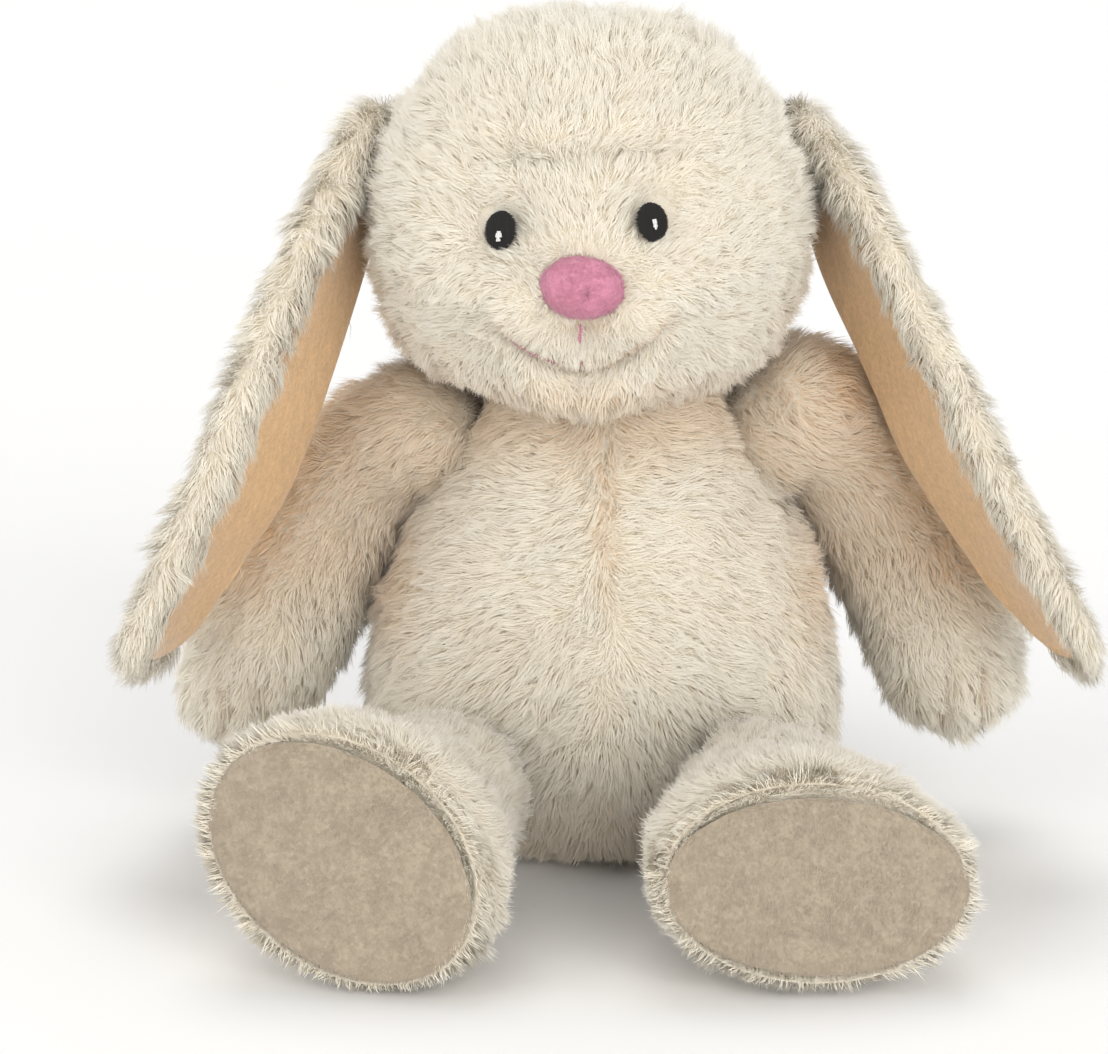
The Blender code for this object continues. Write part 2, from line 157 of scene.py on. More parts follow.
class Channel:
    """One socket of a node tree. Arithmetic on it adds Math nodes."""

    def __init__(self, tree, socket):
        self.tree = tree
        self.socket = socket

    def _maths(self, operation, first, second, clamp=False):
        node = self.tree.nodes.new("ShaderNodeMath")
        node.operation = operation
        node.use_clamp = clamp
        for place, value in enumerate((first, second)):
            if isinstance(value, Channel):
                self.tree.links.new(value.socket, node.inputs[place])
            elif value is not None:
                node.inputs[place].default_value = value
        return Channel(self.tree, node.outputs[0])

    def __add__(self, other):
        return self._maths("ADD", self, other)

    def __radd__(self, other):
        return self._maths("ADD", other, self)

    def __sub__(self, other):
        return self._maths("SUBTRACT", self, other)

    def __rsub__(self, other):
        return self._maths("SUBTRACT", other, self)

    def __mul__(self, other):
        return self._maths("MULTIPLY", self, other)

    def __rmul__(self, other):
        return self._maths("MULTIPLY", other, self)

    def __pow__(self, other):
        return self._maths("POWER", self, other)

    def clamped(self):
        return self._maths("ADD", self, 0.0, clamp=True)

    def sine(self):
        return self._maths("SINE", self, None)


class Finish:
    """A material in the making: adds nodes, wires them and sets the shader's own sockets."""

    def __init__(self, name):
        self.material = bpy.data.materials.new(name)
        self.material.use_nodes = True
        self.tree = self.material.node_tree
        self.shader = self.tree.nodes["Principled BSDF"]

    def node(self, kind, settings=None, inputs=None, output=0):
        """Adds a node of a type, sets it up, feeds its sockets and hands back one of its outputs."""
        made = self.tree.nodes.new("ShaderNode" + kind)
        for name, value in (settings or {}).items():
            setattr(made, name, value)
        for name, value in (inputs or {}).items():
            if isinstance(value, Channel):
                self.tree.links.new(value.socket, made.inputs[name])
            else:
                made.inputs[name].default_value = value
        return Channel(self.tree, made.outputs[output])

    def place(self):
        return self.node("TexCoord", output="Object")

    def attribute(self, name):
        return self.node("Attribute", {"attribute_name": name}, output="Fac")

    def noise(self, vector, scale, detail=2.0, roughness=0.5):
        inputs = {"Vector": vector, "Scale": scale, "Detail": detail, "Roughness": roughness}
        return self.node("TexNoise", inputs=inputs, output="Fac")

    def stretched(self, vector, factors):
        return self.node("VectorMath", {"operation": "MULTIPLY"}, {0: vector, 1: factors})

    def mix(self, factor, first, second):
        """Mixes two colours, given as sockets or as red, green and blue."""
        pair = [colour if isinstance(colour, Channel) else (*colour[:3], 1.0) for colour in (first, second)]
        return self.node("Mix", {"data_type": "RGBA"}, {0: factor, 6: pair[0], 7: pair[1]}, output=2)

    def bump(self, height, strength, distance):
        return self.node("Bump", inputs={"Height": height, "Strength": strength, "Distance": distance})

    def feed(self, **sockets):
        """Sets or links the shader's sockets, named with underscores for spaces."""
        for name, value in sockets.items():
            socket = self.shader.inputs[name.replace("_", " ")]
            if isinstance(value, Channel):
                self.tree.links.new(value.socket, socket)
            else:
                socket.default_value = value
        return self.material


def scaled(colour, factor):
    return tuple(min(1.0, part * factor) for part in colour)


def fur_finish(name, tip, root, warm, patchy=0.30):
    """Fibres that pale from a deeper root to the tip, with some locks a little deeper in tone at random.
    Locks marked for it turn toward a tan colour of painted shade.
    """
    if name in bpy.data.materials:
        return bpy.data.materials[name]
    finish = Finish(name)
    along = finish.attribute("along")
    tone = finish.attribute("tone")
    drift = finish.noise(finish.place(), 26.0, 3.0)
    # Root to tip: the fibres' own paler tips over a deeper root colour, which also stands in as painted
    # shade deep in the pile.
    shade = finish.mix((along ** 0.7).clamped(), root, tip)
    shade = finish.mix((tone * 0.40 + drift * patchy - 0.22).clamped(), shade, scaled(root, 0.97))
    # Painted shade: locks with a painted-shade amount turn toward the tan shade colour, most near the root.
    shade = finish.mix((finish.attribute("warm") * (1.15 - along * 0.3)).clamped(), shade, warm)
    return finish.feed(
        Base_Color=shade, Roughness=0.62, Specular_IOR_Level=0.2, Sheen_Weight=0.4, Sheen_Roughness=0.5
    )


def backing_finish(fur):
    """The knitted backing and the dense roots of the pile."""
    if "fur backing" in bpy.data.materials:
        return bpy.data.materials["fur backing"]
    finish = Finish("fur backing")
    place = finish.place()
    mottle = finish.noise(place, 420.0, 4.0, 0.7)
    patch = finish.noise(place, 60.0, 3.0)
    shade = finish.mix(mottle * 0.7 + patch * 0.3, scaled(fur.root, 0.88), scaled(fur.tip, 0.90))
    return finish.feed(
        Base_Color=shade, Roughness=0.9, Specular_IOR_Level=0.1, Sheen_Weight=0.3,
        Normal=finish.bump(mottle, 0.8, 0.001),
    )


def velour_finish(name, colour, brush, depth=0.35, scale=900.0):
    """Short brushed pile: a fine fibre grain with soft darker and paler strokes."""
    finish = Finish(name)
    place = finish.place()
    fibres = finish.noise(place, scale, 3.0, 0.75)
    strokes = finish.noise(finish.stretched(place, brush), 1.0, 3.0, 0.6)
    wear = finish.noise(place, 35.0, 2.0)
    tone = (fibres * 1.1 + strokes * 0.60 + wear * 0.16 - 0.44).clamped()
    shade = finish.mix(tone, scaled(colour, 1 - depth), scaled(colour, 1 + depth * 0.55))
    return finish.feed(
        Base_Color=shade, Roughness=0.85, Specular_IOR_Level=0.15, Sheen_Weight=0.5, Sheen_Roughness=0.4,
        Normal=finish.bump(fibres * 0.6 + strokes * 0.4, 0.7, 0.0006),
    )


def thread_finish(name, colour, pitch, sheen=0.3):
    """Twisted or satin-stitched thread: fine parallel ridges with a soft shine."""
    finish = Finish(name)
    place = finish.place()
    slanted = finish.stretched(place, (pitch, 0, pitch * 0.35))
    ridges = finish.node("SeparateXYZ", inputs={0: slanted}).sine()
    grain = finish.noise(place, 2500.0, 2.0)
    shade = finish.mix((ridges * 0.25 + grain * 0.6).clamped(), scaled(colour, 0.75), scaled(colour, 1.5))
    return finish.feed(
        Base_Color=shade, Roughness=0.5, Specular_IOR_Level=0.4, Sheen_Weight=sheen,
        Normal=finish.bump(ridges * 0.5 + grain, 0.5, 0.0002),
    )


def stuffing_finish():
    """Loose white polyester fibre, seen only if a cover is taken off."""
    finish = Finish("polyester fibre")
    place = finish.place()
    curls = finish.noise(place, 700.0, 5.0, 0.7)
    shade = finish.mix(curls, (0.70, 0.70, 0.69), (0.92, 0.92, 0.91))
    return finish.feed(Base_Color=shade, Roughness=0.95, Normal=finish.bump(curls, 0.9, 0.002))


def pellet_cloth_finish():
    """Plain weave of the bag that holds the pellets."""
    finish = Finish("pellet bag cloth")
    yarns = finish.stretched(finish.place(), (5200, 5200, 5200))
    warp, weft = (finish.node("SeparateXYZ", inputs={0: yarns}, output=axis).sine() for axis in (0, 1))
    weave = warp * weft * 0.5 + 0.5
    shade = finish.mix(weave, (0.33, 0.33, 0.32), (0.50, 0.50, 0.48))
    return finish.feed(Base_Color=shade, Roughness=0.9, Normal=finish.bump(weave, 0.6, 0.0004))


# ---------------------------------------------------------------- shaping


def vectors(mesh, field="co"):
    """The places of a mesh's points, or their normals, as an array of rows."""
    found = np.empty(len(mesh.vertices) * 3, np.float32)
    mesh.vertices.foreach_get(field, found)
    return found.reshape(-1, 3).astype(float)


def link(obj):
    bpy.context.scene.collection.objects.link(obj)
    return obj


def unit(rows):
    return rows / np.maximum(np.linalg.norm(rows, axis=-1, keepdims=True), 1e-12)


def squares(level):
    """Smooth step of a number or an array, from 0 to 1."""
    level = np.clip(level, 0, 1)
    return level * level * (3 - 2 * level)


def ahead_of(points, depth, span):
    """0 up to a distance in front of the rabbit's middle, then rising to 1 over a span."""
    return squares((-points[:, 1] - depth) / span)


def above(points, level, span):
    """0 up to a height, then rising to 1 over a span."""
    return squares((points[:, 2] - level) / span)


def below(points, level, span):
    """0 down to a height, then rising to 1 over a span."""
    return squares((level - points[:, 2]) / span)


def surface(name, points, faces):
    """A smooth object from points and the corners of its faces."""
    mesh = bpy.data.meshes.new(name)
    mesh.from_pydata([tuple(point) for point in points], [], faces)
    mesh.update()
    mesh.shade_smooth()
    return link(bpy.data.objects.new(name, mesh))


def grid_object(name, rings):
    """A mesh through rings of points, closed by a fan round a centre point at each end."""
    count, sides = rings.shape[:2]
    points = rings.reshape(-1, 3)
    faces = []
    for row in range(count - 1):
        for index in range(sides):
            near, far = row * sides, (row + 1) * sides
            after = (index + 1) % sides
            faces.append((near + index, near + after, far + after, far + index))
    for row in (0, count - 1):
        points = np.vstack([points, rings[row].mean(0)])
        hub = len(points) - 1
        for index in range(sides):
            after = (index + 1) % sides
            pair = (row * sides + index, row * sides + after)
            faces.append((hub, pair[1], pair[0]) if row == 0 else (hub, *pair))
    return surface(name, points.tolist(), faces)


def across(axis, up):
    """Two directions square to an axis and to each other; the second lies nearest to `up`."""
    side = Vector(up).cross(axis).normalized()
    return side, axis.cross(side)


def slices(node, path, rings, sides, up=(0, 1, 0), reach=0.12):
    """Rings on the outer wall of a CAD cover, square to a path of (place, direction) stations.

    The rings bunch up towards both ends. Rays run in from `reach` away, so they meet the outer
    wall first.
    """
    source = frame["nodes"][node].data
    faces = [tuple(face.vertices) for face in source.polygons]
    tree = BVHTree.FromPolygons([point.co for point in source.vertices], faces)
    places = [Vector(place) for place, _ in path]
    ways = [Vector(way).normalized() for _, way in path]
    turns = [2 * math.pi * index / sides for index in range(sides)]
    found = []
    for row in range(rings):
        share = 0.5 * (1 - math.cos(math.pi * row / (rings - 1))) * (len(path) - 1)
        first = min(int(share), len(path) - 2)
        part = share - first
        bend = (places[first + 1] - places[first]).length
        centre = hermite(places[first], places[first + 1], ways[first] * bend, ways[first + 1] * bend, part)
        way = ways[first].lerp(ways[first + 1], part).normalized()
        side, top = across(way, up)
        outward = [side * math.cos(turn) + top * math.sin(turn) for turn in turns]
        for _ in range(2):
            hits = []
            for direction in outward:
                place = tree.ray_cast(centre + direction * reach, -direction, reach)[0]
                hits.append(place if place else centre)
            middle = sum(hits, Vector()) / sides
            centre = middle - way * (middle - centre).dot(way)
        found.append([tuple(hit) for hit in hits])
    return np.array(found)


def hermite(first, second, leave, arrive, part):
    square, cube = part * part, part ** 3
    return (
        first * (2 * cube - 3 * square + 1)
        + leave * (cube - 2 * square + part)
        + second * (3 * square - 2 * cube)
        + arrive * (cube - square)
    )


def tucked(rings, way, steps, start=True):
    """Adds rings beyond an end; a step is a shift along `way` and a scale about the end ring's centre."""
    edge = rings[0] if start else rings[-1]
    middle = edge.mean(0)
    extra = np.array([middle + np.array(way) * shift + (edge - middle) * scale for shift, scale in steps])
    return np.concatenate([extra[::-1], rings]) if start else np.concatenate([rings, extra])


def skinned(name, rings, inset):
    """A skin through rings, moved a little inwards and kept off the floor."""

    def settled(points, normals):
        points = points - normals * inset
        points[:, 2] = np.maximum(points[:, 2], FLOOR_CLEARANCE)
        return points

    return moved(grid_object(name, rings), settled)


END_GAP = 0.012  # the first and last ring stand this share of the way in from the ends of a piece


def wrapped(name, node, start, end, rings, sides, inset, **slicing):
    """A skin that follows the outer wall of a CAD piece between two points on its ends."""
    start, end = Vector(start), Vector(end)
    way = end - start
    path = ((start + way * END_GAP, way), (end - way * END_GAP, way))
    return skinned(name, slices(node, path, rings, sides, **slicing), inset)


def apply_modifiers(obj):
    """Replaces the mesh with the evaluated one."""
    graph = bpy.context.evaluated_depsgraph_get()
    graph.update()
    mesh = bpy.data.meshes.new_from_object(obj.evaluated_get(graph), depsgraph=graph)
    old = obj.data
    obj.modifiers.clear()
    obj.data = mesh
    bpy.data.meshes.remove(old)
    mesh.name = obj.name
    return obj


def subdivided(obj, levels=1):
    modifier = obj.modifiers.new("Rounded", "SUBSURF")
    modifier.levels = modifier.render_levels = levels
    return apply_modifiers(obj)


def moved(obj, change):
    """Moves each point by what change(points, normals) gives."""
    points, normals = vectors(obj.data), vectors(obj.data, field="normal")
    points = change(points, normals)
    obj.data.vertices.foreach_set("co", points.ravel())
    obj.data.update()
    return obj


def hill(points, centre, spread):
    """1 at a centre, falling off smoothly with the given spread along each axis."""
    offset = (points - np.array(centre)) / np.array(spread)
    return np.exp(-(offset * offset).sum(1))


def finished(obj, material):
    obj.data.materials.clear()
    obj.data.materials.append(material)
    return obj


# ---------------------------------------------------------------- fur


def scattered(skin, density, seed):
    """Root places and skin directions, spread evenly over a skin."""
    mesh = skin.data
    mesh.calc_loop_triangles()
    points, normals = vectors(mesh), vectors(mesh, field="normal")
    corners = np.empty(len(mesh.loop_triangles) * 3, np.int32)
    mesh.loop_triangles.foreach_get("vertices", corners)
    corners = corners.reshape(-1, 3)
    first, second, third = (points[corners[:, k]] for k in range(3))
    area = np.linalg.norm(np.cross(second - first, third - first), axis=1) / 2
    random = np.random.default_rng(seed)
    count = int(area.sum() * density * 1e6)
    chosen = random.choice(len(area), count, p=area / area.sum())
    one, two = random.random((2, count, 1))
    flipped = one + two > 1
    one, two = np.where(flipped, 1 - one, one), np.where(flipped, 1 - two, two)
    trio = corners[chosen]
    mixed = [
        field[trio[:, 0]] * (1 - one - two) + field[trio[:, 1]] * one + field[trio[:, 2]] * two
        for field in (points, normals)
    ]
    return mixed[0], unit(mixed[1]), random


def nearest(places, centres):
    """For each place, which of the centres is nearest."""
    tree = KDTree(len(centres))
    for index, centre in enumerate(centres):
        tree.insert(centre, index)
    tree.balance()
    return np.array([tree.find(place)[1] for place in places], int)


def combed(flow, normals):
    """Directions laid flat on the skin."""
    flat = flow - normals * (flow * normals).sum(1, keepdims=True)
    return unit(flat)


def turned(directions, normals, angles):
    """Directions turned about the skin's own normals."""
    cos, sin = np.cos(angles)[:, None], np.sin(angles)[:, None]
    return directions * cos + np.cross(normals, directions) * sin


def grow_fur(
    name, skin, fur, flow, pile, seed, density=1.0, lean=(34, 72), keep=None, painted_shade=None, upright=None,
    clumping=0.55, wild=1.0, colours=None, width=1.0, fine=1.0, mottle=1.0,
):
    """Locks of fibres on a skin, gathered into small and large tufts.

    flow(points) gives the way the fur is combed, pile(points) its length, keep(points) where it grows
    and upright(points) the degrees by which it stands up from its lean. The painted-shade mask gives
    where painted tan shade, in folds and under the head and ears, is mixed into the fibres' colour.
    Hands back a list of fur pieces.
    """
    roots, normals, random = scattered(skin, fur.density * density, seed)
    if keep is not None:
        kept = random.random(len(roots)) < keep(roots)
        roots, normals = roots[kept], normals[kept]
    count = len(roots)
    area = count / (fur.density * density * 1e6)
    way = combed(flow(roots), normals)
    length = pile(roots)

    def cells(spacing, wobble):
        """Seeds of cells with a spacing, and the cell of each root."""
        seeds = random.choice(count, min(count, max(4, int(area / (spacing * fine) ** 2))), replace=False)
        return seeds, nearest(roots + random.normal(0, spacing * fine * wobble, roots.shape), roots[seeds])

    def unruly(swirls, clumps, tufts, locks):
        """A random angle for each lock, in degrees, partly shared within its swirl, clump and tuft."""
        return (
            random.normal(0, swirls, len(swirl_at))[swirl]
            + random.normal(0, clumps, len(clump_at))[clump]
            + random.normal(0, tufts, len(tuft_at))[tuft]
            + random.normal(0, locks, count)
        )

    swirl_at, swirl = cells(fur.swirl, 0.14)
    clump_at, clump = cells(fur.clump, 0.18)
    tuft_at, tuft = cells(fur.tuft, 0.24)
    turn = np.radians(unruly(15 * wild, 10 * wild, 15 * wild, 8))
    raise_by = unruly(9, 5, 8, 5)
    long = random.uniform(0.80, 1.16, len(tuft_at))[tuft]
    long = long * random.uniform(0.86, 1.10, len(clump_at))[clump]
    tones = random.random(len(tuft_at))[tuft] * 0.55
    tones = tones + random.random(len(clump_at))[clump] * 0.3 + random.random(count) * 0.15
    tones = 0.5 + (tones - 0.5) * mottle
    # Painted shade: how strongly each lock is tinted toward the tan shade colour.
    painted_shade_amount = np.zeros(count) if painted_shade is None else painted_shade(roots) * random.uniform(0.55, 1.15, count)
    if upright is not None:
        raise_by = raise_by - upright(roots)

    way = turned(way, normals, turn)
    low = np.radians(np.clip(lean[0] + raise_by, 3, 80))
    high = np.radians(np.clip(lean[1] + raise_by * 0.8, 12, 89))
    length = length * long * random.uniform(0.72, 1.12, count)

    line = [roots - normals * 0.0005]
    for before, after in zip(LOCK_STEPS, LOCK_STEPS[1:]):
        angle = (low + (high - low) * ((before + after) / 2) ** 0.8)[:, None]
        heading = normals * np.cos(angle) + way * np.sin(angle)
        line.append(line[-1] + heading * (length * (after - before))[:, None])
    line = np.stack(line, 1)
    share = LOCK_STEPS[None, :, None]
    heads = line[clump_at][clump]
    leaders = line[tuft_at][tuft]
    leaders = leaders + (heads - leaders) * (0.32 * clumping / 0.55 * share ** 1.4)
    pull = clumping * share ** 1.25 * np.clip(random.normal(1.0, 0.25, (count, 1, 1)), 0.2, 1.4)
    line += (leaders - line) * pull
    line[:, 1:] += random.normal(0, 0.00035 * fine, (count, 2, 3)) * share[:, 1:]

    run = unit(line[:, 1:] - line[:, :-1])
    run = np.concatenate([run, run[:, -1:]], 1)
    shown = np.clip(1 + normals @ FACED, 0, 1)[:, None]
    facing = unit(normals + 0.9 * shown * FACED)
    flat_side = unit(np.cross(run, facing[:, None]))
    edge_side = np.cross(run, flat_side)
    twist = random.uniform(-0.5, 0.5, count)[:, None, None]
    ribbon = flat_side * np.cos(twist) + edge_side * np.sin(twist)
    wide = fur.strand * width * random.uniform(0.6, 1.35, count)[:, None, None]
    half = ribbon[:, :2] * wide * np.array((1.0, 0.85))[None, :, None] / 2
    points = np.empty((count, 5, 3))
    points[:, 0:4:2] = line[:, :2] - half
    points[:, 1:4:2] = line[:, :2] + half
    points[:, 4] = line[:, 2]
    points[..., 2] = np.maximum(points[..., 2], FLOOR_CLEARANCE)

    face = unit(np.cross(ribbon, run))
    face *= np.sign((face * facing[:, None]).sum(-1, keepdims=True) + 1e-9)
    shading = unit(face[:, LOCK_CORNERS] * 0.22 + normals[:, None] * 0.85)
    material = fur_finish(*(colours or ("fur fibres", fur.tip, fur.root, fur.warm)))

    pieces = []
    parts = math.ceil(count / MOST_STRANDS)
    order = np.argsort(roots[:, 1], kind="stable")
    for part, chosen in enumerate(np.array_split(order, parts)):
        label = name if parts == 1 else f"{name}_{part + 1}"
        piece = strand_object(label, points[chosen], shading[chosen], tones[chosen], painted_shade_amount[chosen])
        pieces.append(finished(piece, material))
    return pieces


def strand_object(name, points, shading, tones, painted_shade_amount):
    """One mesh of ribbons, five points and three triangles each."""
    count, per = points.shape[:2]
    pattern = np.array(((0, 1, 3), (0, 3, 2), (2, 3, 4)))
    corners = (np.arange(count)[:, None, None] * per + pattern).reshape(-1, 3)
    mesh = bpy.data.meshes.new(name)
    mesh.vertices.add(count * per)
    mesh.vertices.foreach_set("co", points.astype(np.float32).ravel())
    mesh.loops.add(corners.size)
    mesh.loops.foreach_set("vertex_index", corners.astype(np.int32).ravel())
    mesh.polygons.add(len(corners))
    mesh.polygons.foreach_set("loop_start", np.arange(0, corners.size, 3, dtype=np.int32))
    mesh.update(calc_edges=True)
    along = np.tile(LOCK_STEPS[list(LOCK_CORNERS)], count)
    tones, painted_shade_amount = np.repeat(tones, per), np.repeat(painted_shade_amount, per)
    # Each point carries its share along the lock, the lock's random tone and its painted-shade amount.
    for label, values in (("along", along), ("tone", tones), ("warm", painted_shade_amount)):
        mesh.attributes.new(label, "FLOAT", "POINT").data.foreach_set("value", values.astype(np.float32))
    mesh.shade_smooth()
    mesh.normals_split_custom_set_from_vertices(shading.reshape(-1, 3).astype(np.float32))
    return link(bpy.data.objects.new(name, mesh))


# ---------------------------------------------------------------- body parts


def bodywork():
    return bpy.context.scene.plush_fur


def seam_distance(points):
    """Distance to the side of the slightly wandering front seam."""
    return points[:, 0] - (0.0009 * np.sin(points[:, 2] * 330) + 0.0006 * np.sin(points[:, 2] * 710))


def torso_flow(points):
    """Out to the sides from the front seam, turning down towards the seat and the back."""
    sideways = np.tanh(points[:, 0] / 0.004)
    low = below(points, 0.105, 0.075)
    back = squares((points[:, 1] + 0.02) / 0.05)
    middle = np.exp(-((points[:, 0] / 0.030) ** 2))
    down = 0.30 + 1.5 * low * (0.5 + 0.5 * middle) + 1.6 * back
    return np.stack([sideways * (1 - 0.45 * low) * (1 - 0.6 * back), np.zeros(len(points)), -down], 1)


class PLUSH_OT_torso(bpy.types.Operator):
    """Body cover with its front seam, fur and seat"""

    bl_idname = "plush.torso"
    bl_label = "Torso"

    def execute(self, context):
        fur = bodywork()
        low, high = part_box("torso_cover")
        middle = (low + high) / 2
        seat, neck = (middle.x, 0, low.z), (middle.x, 0, high.z)
        skin = wrapped("torso_skin", "torso_cover", seat, neck, 22, 44, 0.0015)

        def seam(points, normals):
            upper = above(points, 0.075, 0.045)
            groove = np.exp(-((seam_distance(points) / 0.0035) ** 2)) * ahead_of(points, 0.02, 0.03) * upper
            side = hill(points * (0, 1, 1), (0, 0, 0.112), (1, 0.035, 0.030))
            side = side * squares((np.abs(points[:, 0]) - 0.03) / 0.03)
            return points + normals * (side * 0.0035 - groove * 0.0036)[:, None]

        moved(subdivided(skin), seam)
        finished(skin, backing_finish(fur))
        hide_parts("torso_cover")
        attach(skin, "torso")

        def pile(points):
            return fur.pile * (1.0 - 0.35 * below(points, 0.012, 0.012))

        # Painted shade, tan: in the groove of the front seam, at the neck under the head, in the armpits
        # and darker towards the seat, where shade falls.
        def painted_shade(points):
            front = ahead_of(points, 0.02, 0.03) * above(points, 0.085, 0.050)
            seam = 0.50 * np.exp(-((seam_distance(points) / 0.0022) ** 2)) * front
            neck = 0.45 * above(points, 0.135, 0.03)
            armpit = 0.45 * squares((np.abs(points[:, 0]) - 0.058) / 0.015)
            armpit = armpit * above(points, 0.070, 0.03)
            seat = 0.26 * below(points, 0.050, 0.04)
            return np.maximum.reduce([seam, neck, armpit, seat])

        for piece in grow_fur("torso_fur", skin, fur, torso_flow, pile, seed=11, painted_shade=painted_shade):
            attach(piece, "torso")
        return {"FINISHED"}


class PLUSH_OT_tail(bpy.types.Operator):
    """Small round tail at the back of the seat"""

    bl_idname = "plush.tail"
    bl_label = "Tail"

    def execute(self, context):
        fur = bodywork()
        low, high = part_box("tail_cover")
        middle = (low + high) / 2
        front, back = (middle.x, low.y, middle.z), (middle.x, high.y, middle.z)
        skin = wrapped("tail_skin", "tail_cover", front, back, 10, 18, 0.003, up=(0, 0, 1), reach=0.05)
        finished(subdivided(skin), backing_finish(fur))
        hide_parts("tail_cover")
        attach(skin, "torso")

        def flow(points):
            return np.tile((0.0, 0.35, -0.9), (len(points), 1))

        def pile(points):
            return np.full(len(points), fur.pile * 0.9)

        for piece in grow_fur("tail_fur", skin, fur, flow, pile, 17, wild=1.6, lean=(15, 50)):
            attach(piece, "torso")
        return {"FINISHED"}


def face_marks():
    """Middles of the pieces of the face."""
    names = ("eye_left", "eye_right", "nose_pad", "mouth_thread")
    return {name: sum(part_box(name), Vector()) / 2 for name in names}


FACE_DEPTH = 0.06  # how far the hills and hollows of the face reach from front to back
FACE_HILLS = (  # piece it is by, rise, offset outwards and up, half width and half height
    ("eye", -0.0088, (-0.0010, 0.0020), (0.0135, 0.0130)),  # eye socket
    ("eye", -0.0052, (-0.0100, 0.0220), (0.0210, 0.0032)),  # furrow under the brow
    ("eye", 0.0026, (-0.0100, 0.0290), (0.0240, 0.0045)),  # brow
    ("eye", 0.0060, (0.0090, -0.0215), (0.0200, 0.0115)),  # cheek
    ("nose", 0.0078, (0.0185, -0.0115), (0.0125, 0.0095)),  # side of the muzzle
)


def face_hill(points, middle, aside, up, wide, tall):
    """A hill on the face, by the middle of one of its pieces."""
    return hill(points, middle + Vector((aside, 0, up)), (wide, FACE_DEPTH, tall))


def face_sculpt(points, normals):
    """Eye sockets, brow, cheeks, muzzle and the furrow of the mouth."""
    marks = face_marks()
    nose, mouth = marks["nose_pad"], marks["mouth_thread"]
    change = np.zeros(len(points))
    for side, sign in SIDES:
        places = {"eye": marks[f"eye_{side}"], "nose": nose}
        for by, rise, (aside, up), size in FACE_HILLS:
            change += rise * face_hill(points, places[by], sign * aside, up, *size)
    change += 0.0055 * face_hill(points, nose, 0, 0.0190, 0.013, 0.0110)
    change -= 0.0035 * face_hill(points, nose, 0, -0.0170, 0.0030, 0.0080)
    change -= 0.0090 * mouth_line(points)
    change += 0.0050 * face_hill(points, mouth, 0, -0.0130, 0.024, 0.0070)
    front = ahead_of(points, 0.025, 0.03)
    points = points + normals * (change * front)[:, None]
    reach = np.hypot(points[:, 0] - nose.x, points[:, 1] + 0.014)
    jaw = below(points, 0.214, 0.030) * squares((reach - 0.030) / 0.025)
    points[:, 2] -= 0.0050 * jaw * squares((0.035 - points[:, 1]) / 0.04)
    return points


def mouth_line(points, width=0.0024):
    """1 along the smiling seam below the nose."""
    low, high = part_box("mouth_thread")
    share = (points[:, 0] - (low.x + high.x) / 2) / ((high.x - low.x) / 2)
    level = low.z + (high.z - low.z) * np.clip(share * share, 0, 1.4)
    return np.exp(-(((points[:, 2] - level) / width) ** 2)) * squares((1.30 - np.abs(share)) / 0.35)


def outside(points, centre, radii):
    """1 outside an oval seen from the front, 0 inside it."""
    offset = (points - np.array(centre))[:, (0, 2)] / np.array(radii)
    return ((offset * offset).sum(1) > 1) | (points[:, 1] > -0.03)


class PLUSH_OT_head(bpy.types.Operator):
    """Head cover with its sculpted face, and its fur"""

    bl_idname = "plush.head"
    bl_label = "Head"

    def execute(self, context):
        fur = bodywork()
        low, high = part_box("head_cover")
        pivot = Vector(JOINTS["head_turn"]["pos_m"])
        chin, crown = (pivot.x, pivot.y, low.z), (pivot.x, pivot.y, high.z)
        skin = wrapped("head_skin", "head_cover", chin, crown, 34, 72, 0.0015)
        moved(subdivided(skin), face_sculpt)
        finished(skin, backing_finish(fur))
        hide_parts("head_cover")
        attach(skin, "head")

        marks = face_marks()
        nose = np.array(marks["nose_pad"])
        eyes = [marks[f"eye_{side}"] for side, _ in SIDES]

        def flow(points):
            away = unit(points - nose - np.array((0, 0.010, 0.003)))
            back = squares((points[:, 1] + 0.005) / 0.06)[:, None]
            chin = squares((nose[2] - 0.022 - points[:, 2]) / 0.012) * ahead_of(points, 0.03, 0.03)
            chin = chin[:, None]
            way = away * (1 - back) + np.array((0, 0.3, -1.0)) * back
            return way * (1 - chin) + (away * 0.6 + np.array((0, 0, -0.9))) * chin

        def pile(points):
            front = ahead_of(points, 0.02, 0.04)
            short = 0.26 * front + 0.30 * face_hill(points, marks["nose_pad"], 0, 0.002, 0.026, 0.020)
            short += 0.25 * face_hill(points, marks["nose_pad"], 0, -0.020, 0.030, 0.010)
            crown = 0.28 * above(points, 0.275, 0.02)
            length = fur.pile * (1.02 + crown - np.minimum(short, 0.56))
            length = length * (1 - 0.35 * front * mouth_line(points, 0.0035))
            for eye, (_, sign) in zip(eyes, SIDES):
                length *= 1 - 0.45 * face_hill(points, eye, sign * 0.003, 0.003, 0.0115, 0.0120)
            return length

        def keep(points):
            grown = outside(points, nose, (0.0125, 0.0090)).astype(float)
            for eye in eyes:
                grown *= outside(points, eye, (0.0052, 0.0062))
            return grown

        # Painted shade, tan: in the crease of the mouth, stronger towards +x, under the nose and under the
        # chin, where shade falls.
        def painted_shade(points):
            one_sided = 0.6 + 0.4 * squares((points[:, 0] - nose[0]) / 0.02)
            folds = 0.75 * mouth_line(points, 0.0020) * one_sided
            folds += 0.35 * face_hill(points, marks["nose_pad"], 0, -0.0115, 0.012, 0.0035)
            under = 0.35 * below(points, 0.192, 0.012)
            return np.maximum(folds * ahead_of(points, 0.03, 0.03), under)

        for piece in grow_fur(
            "head_fur", skin, fur, flow, pile, 23, density=1.25, lean=(28, 66), keep=keep, painted_shade=painted_shade,
            wild=1.35,
        ):
            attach(piece, "head")
        return {"FINISHED"}


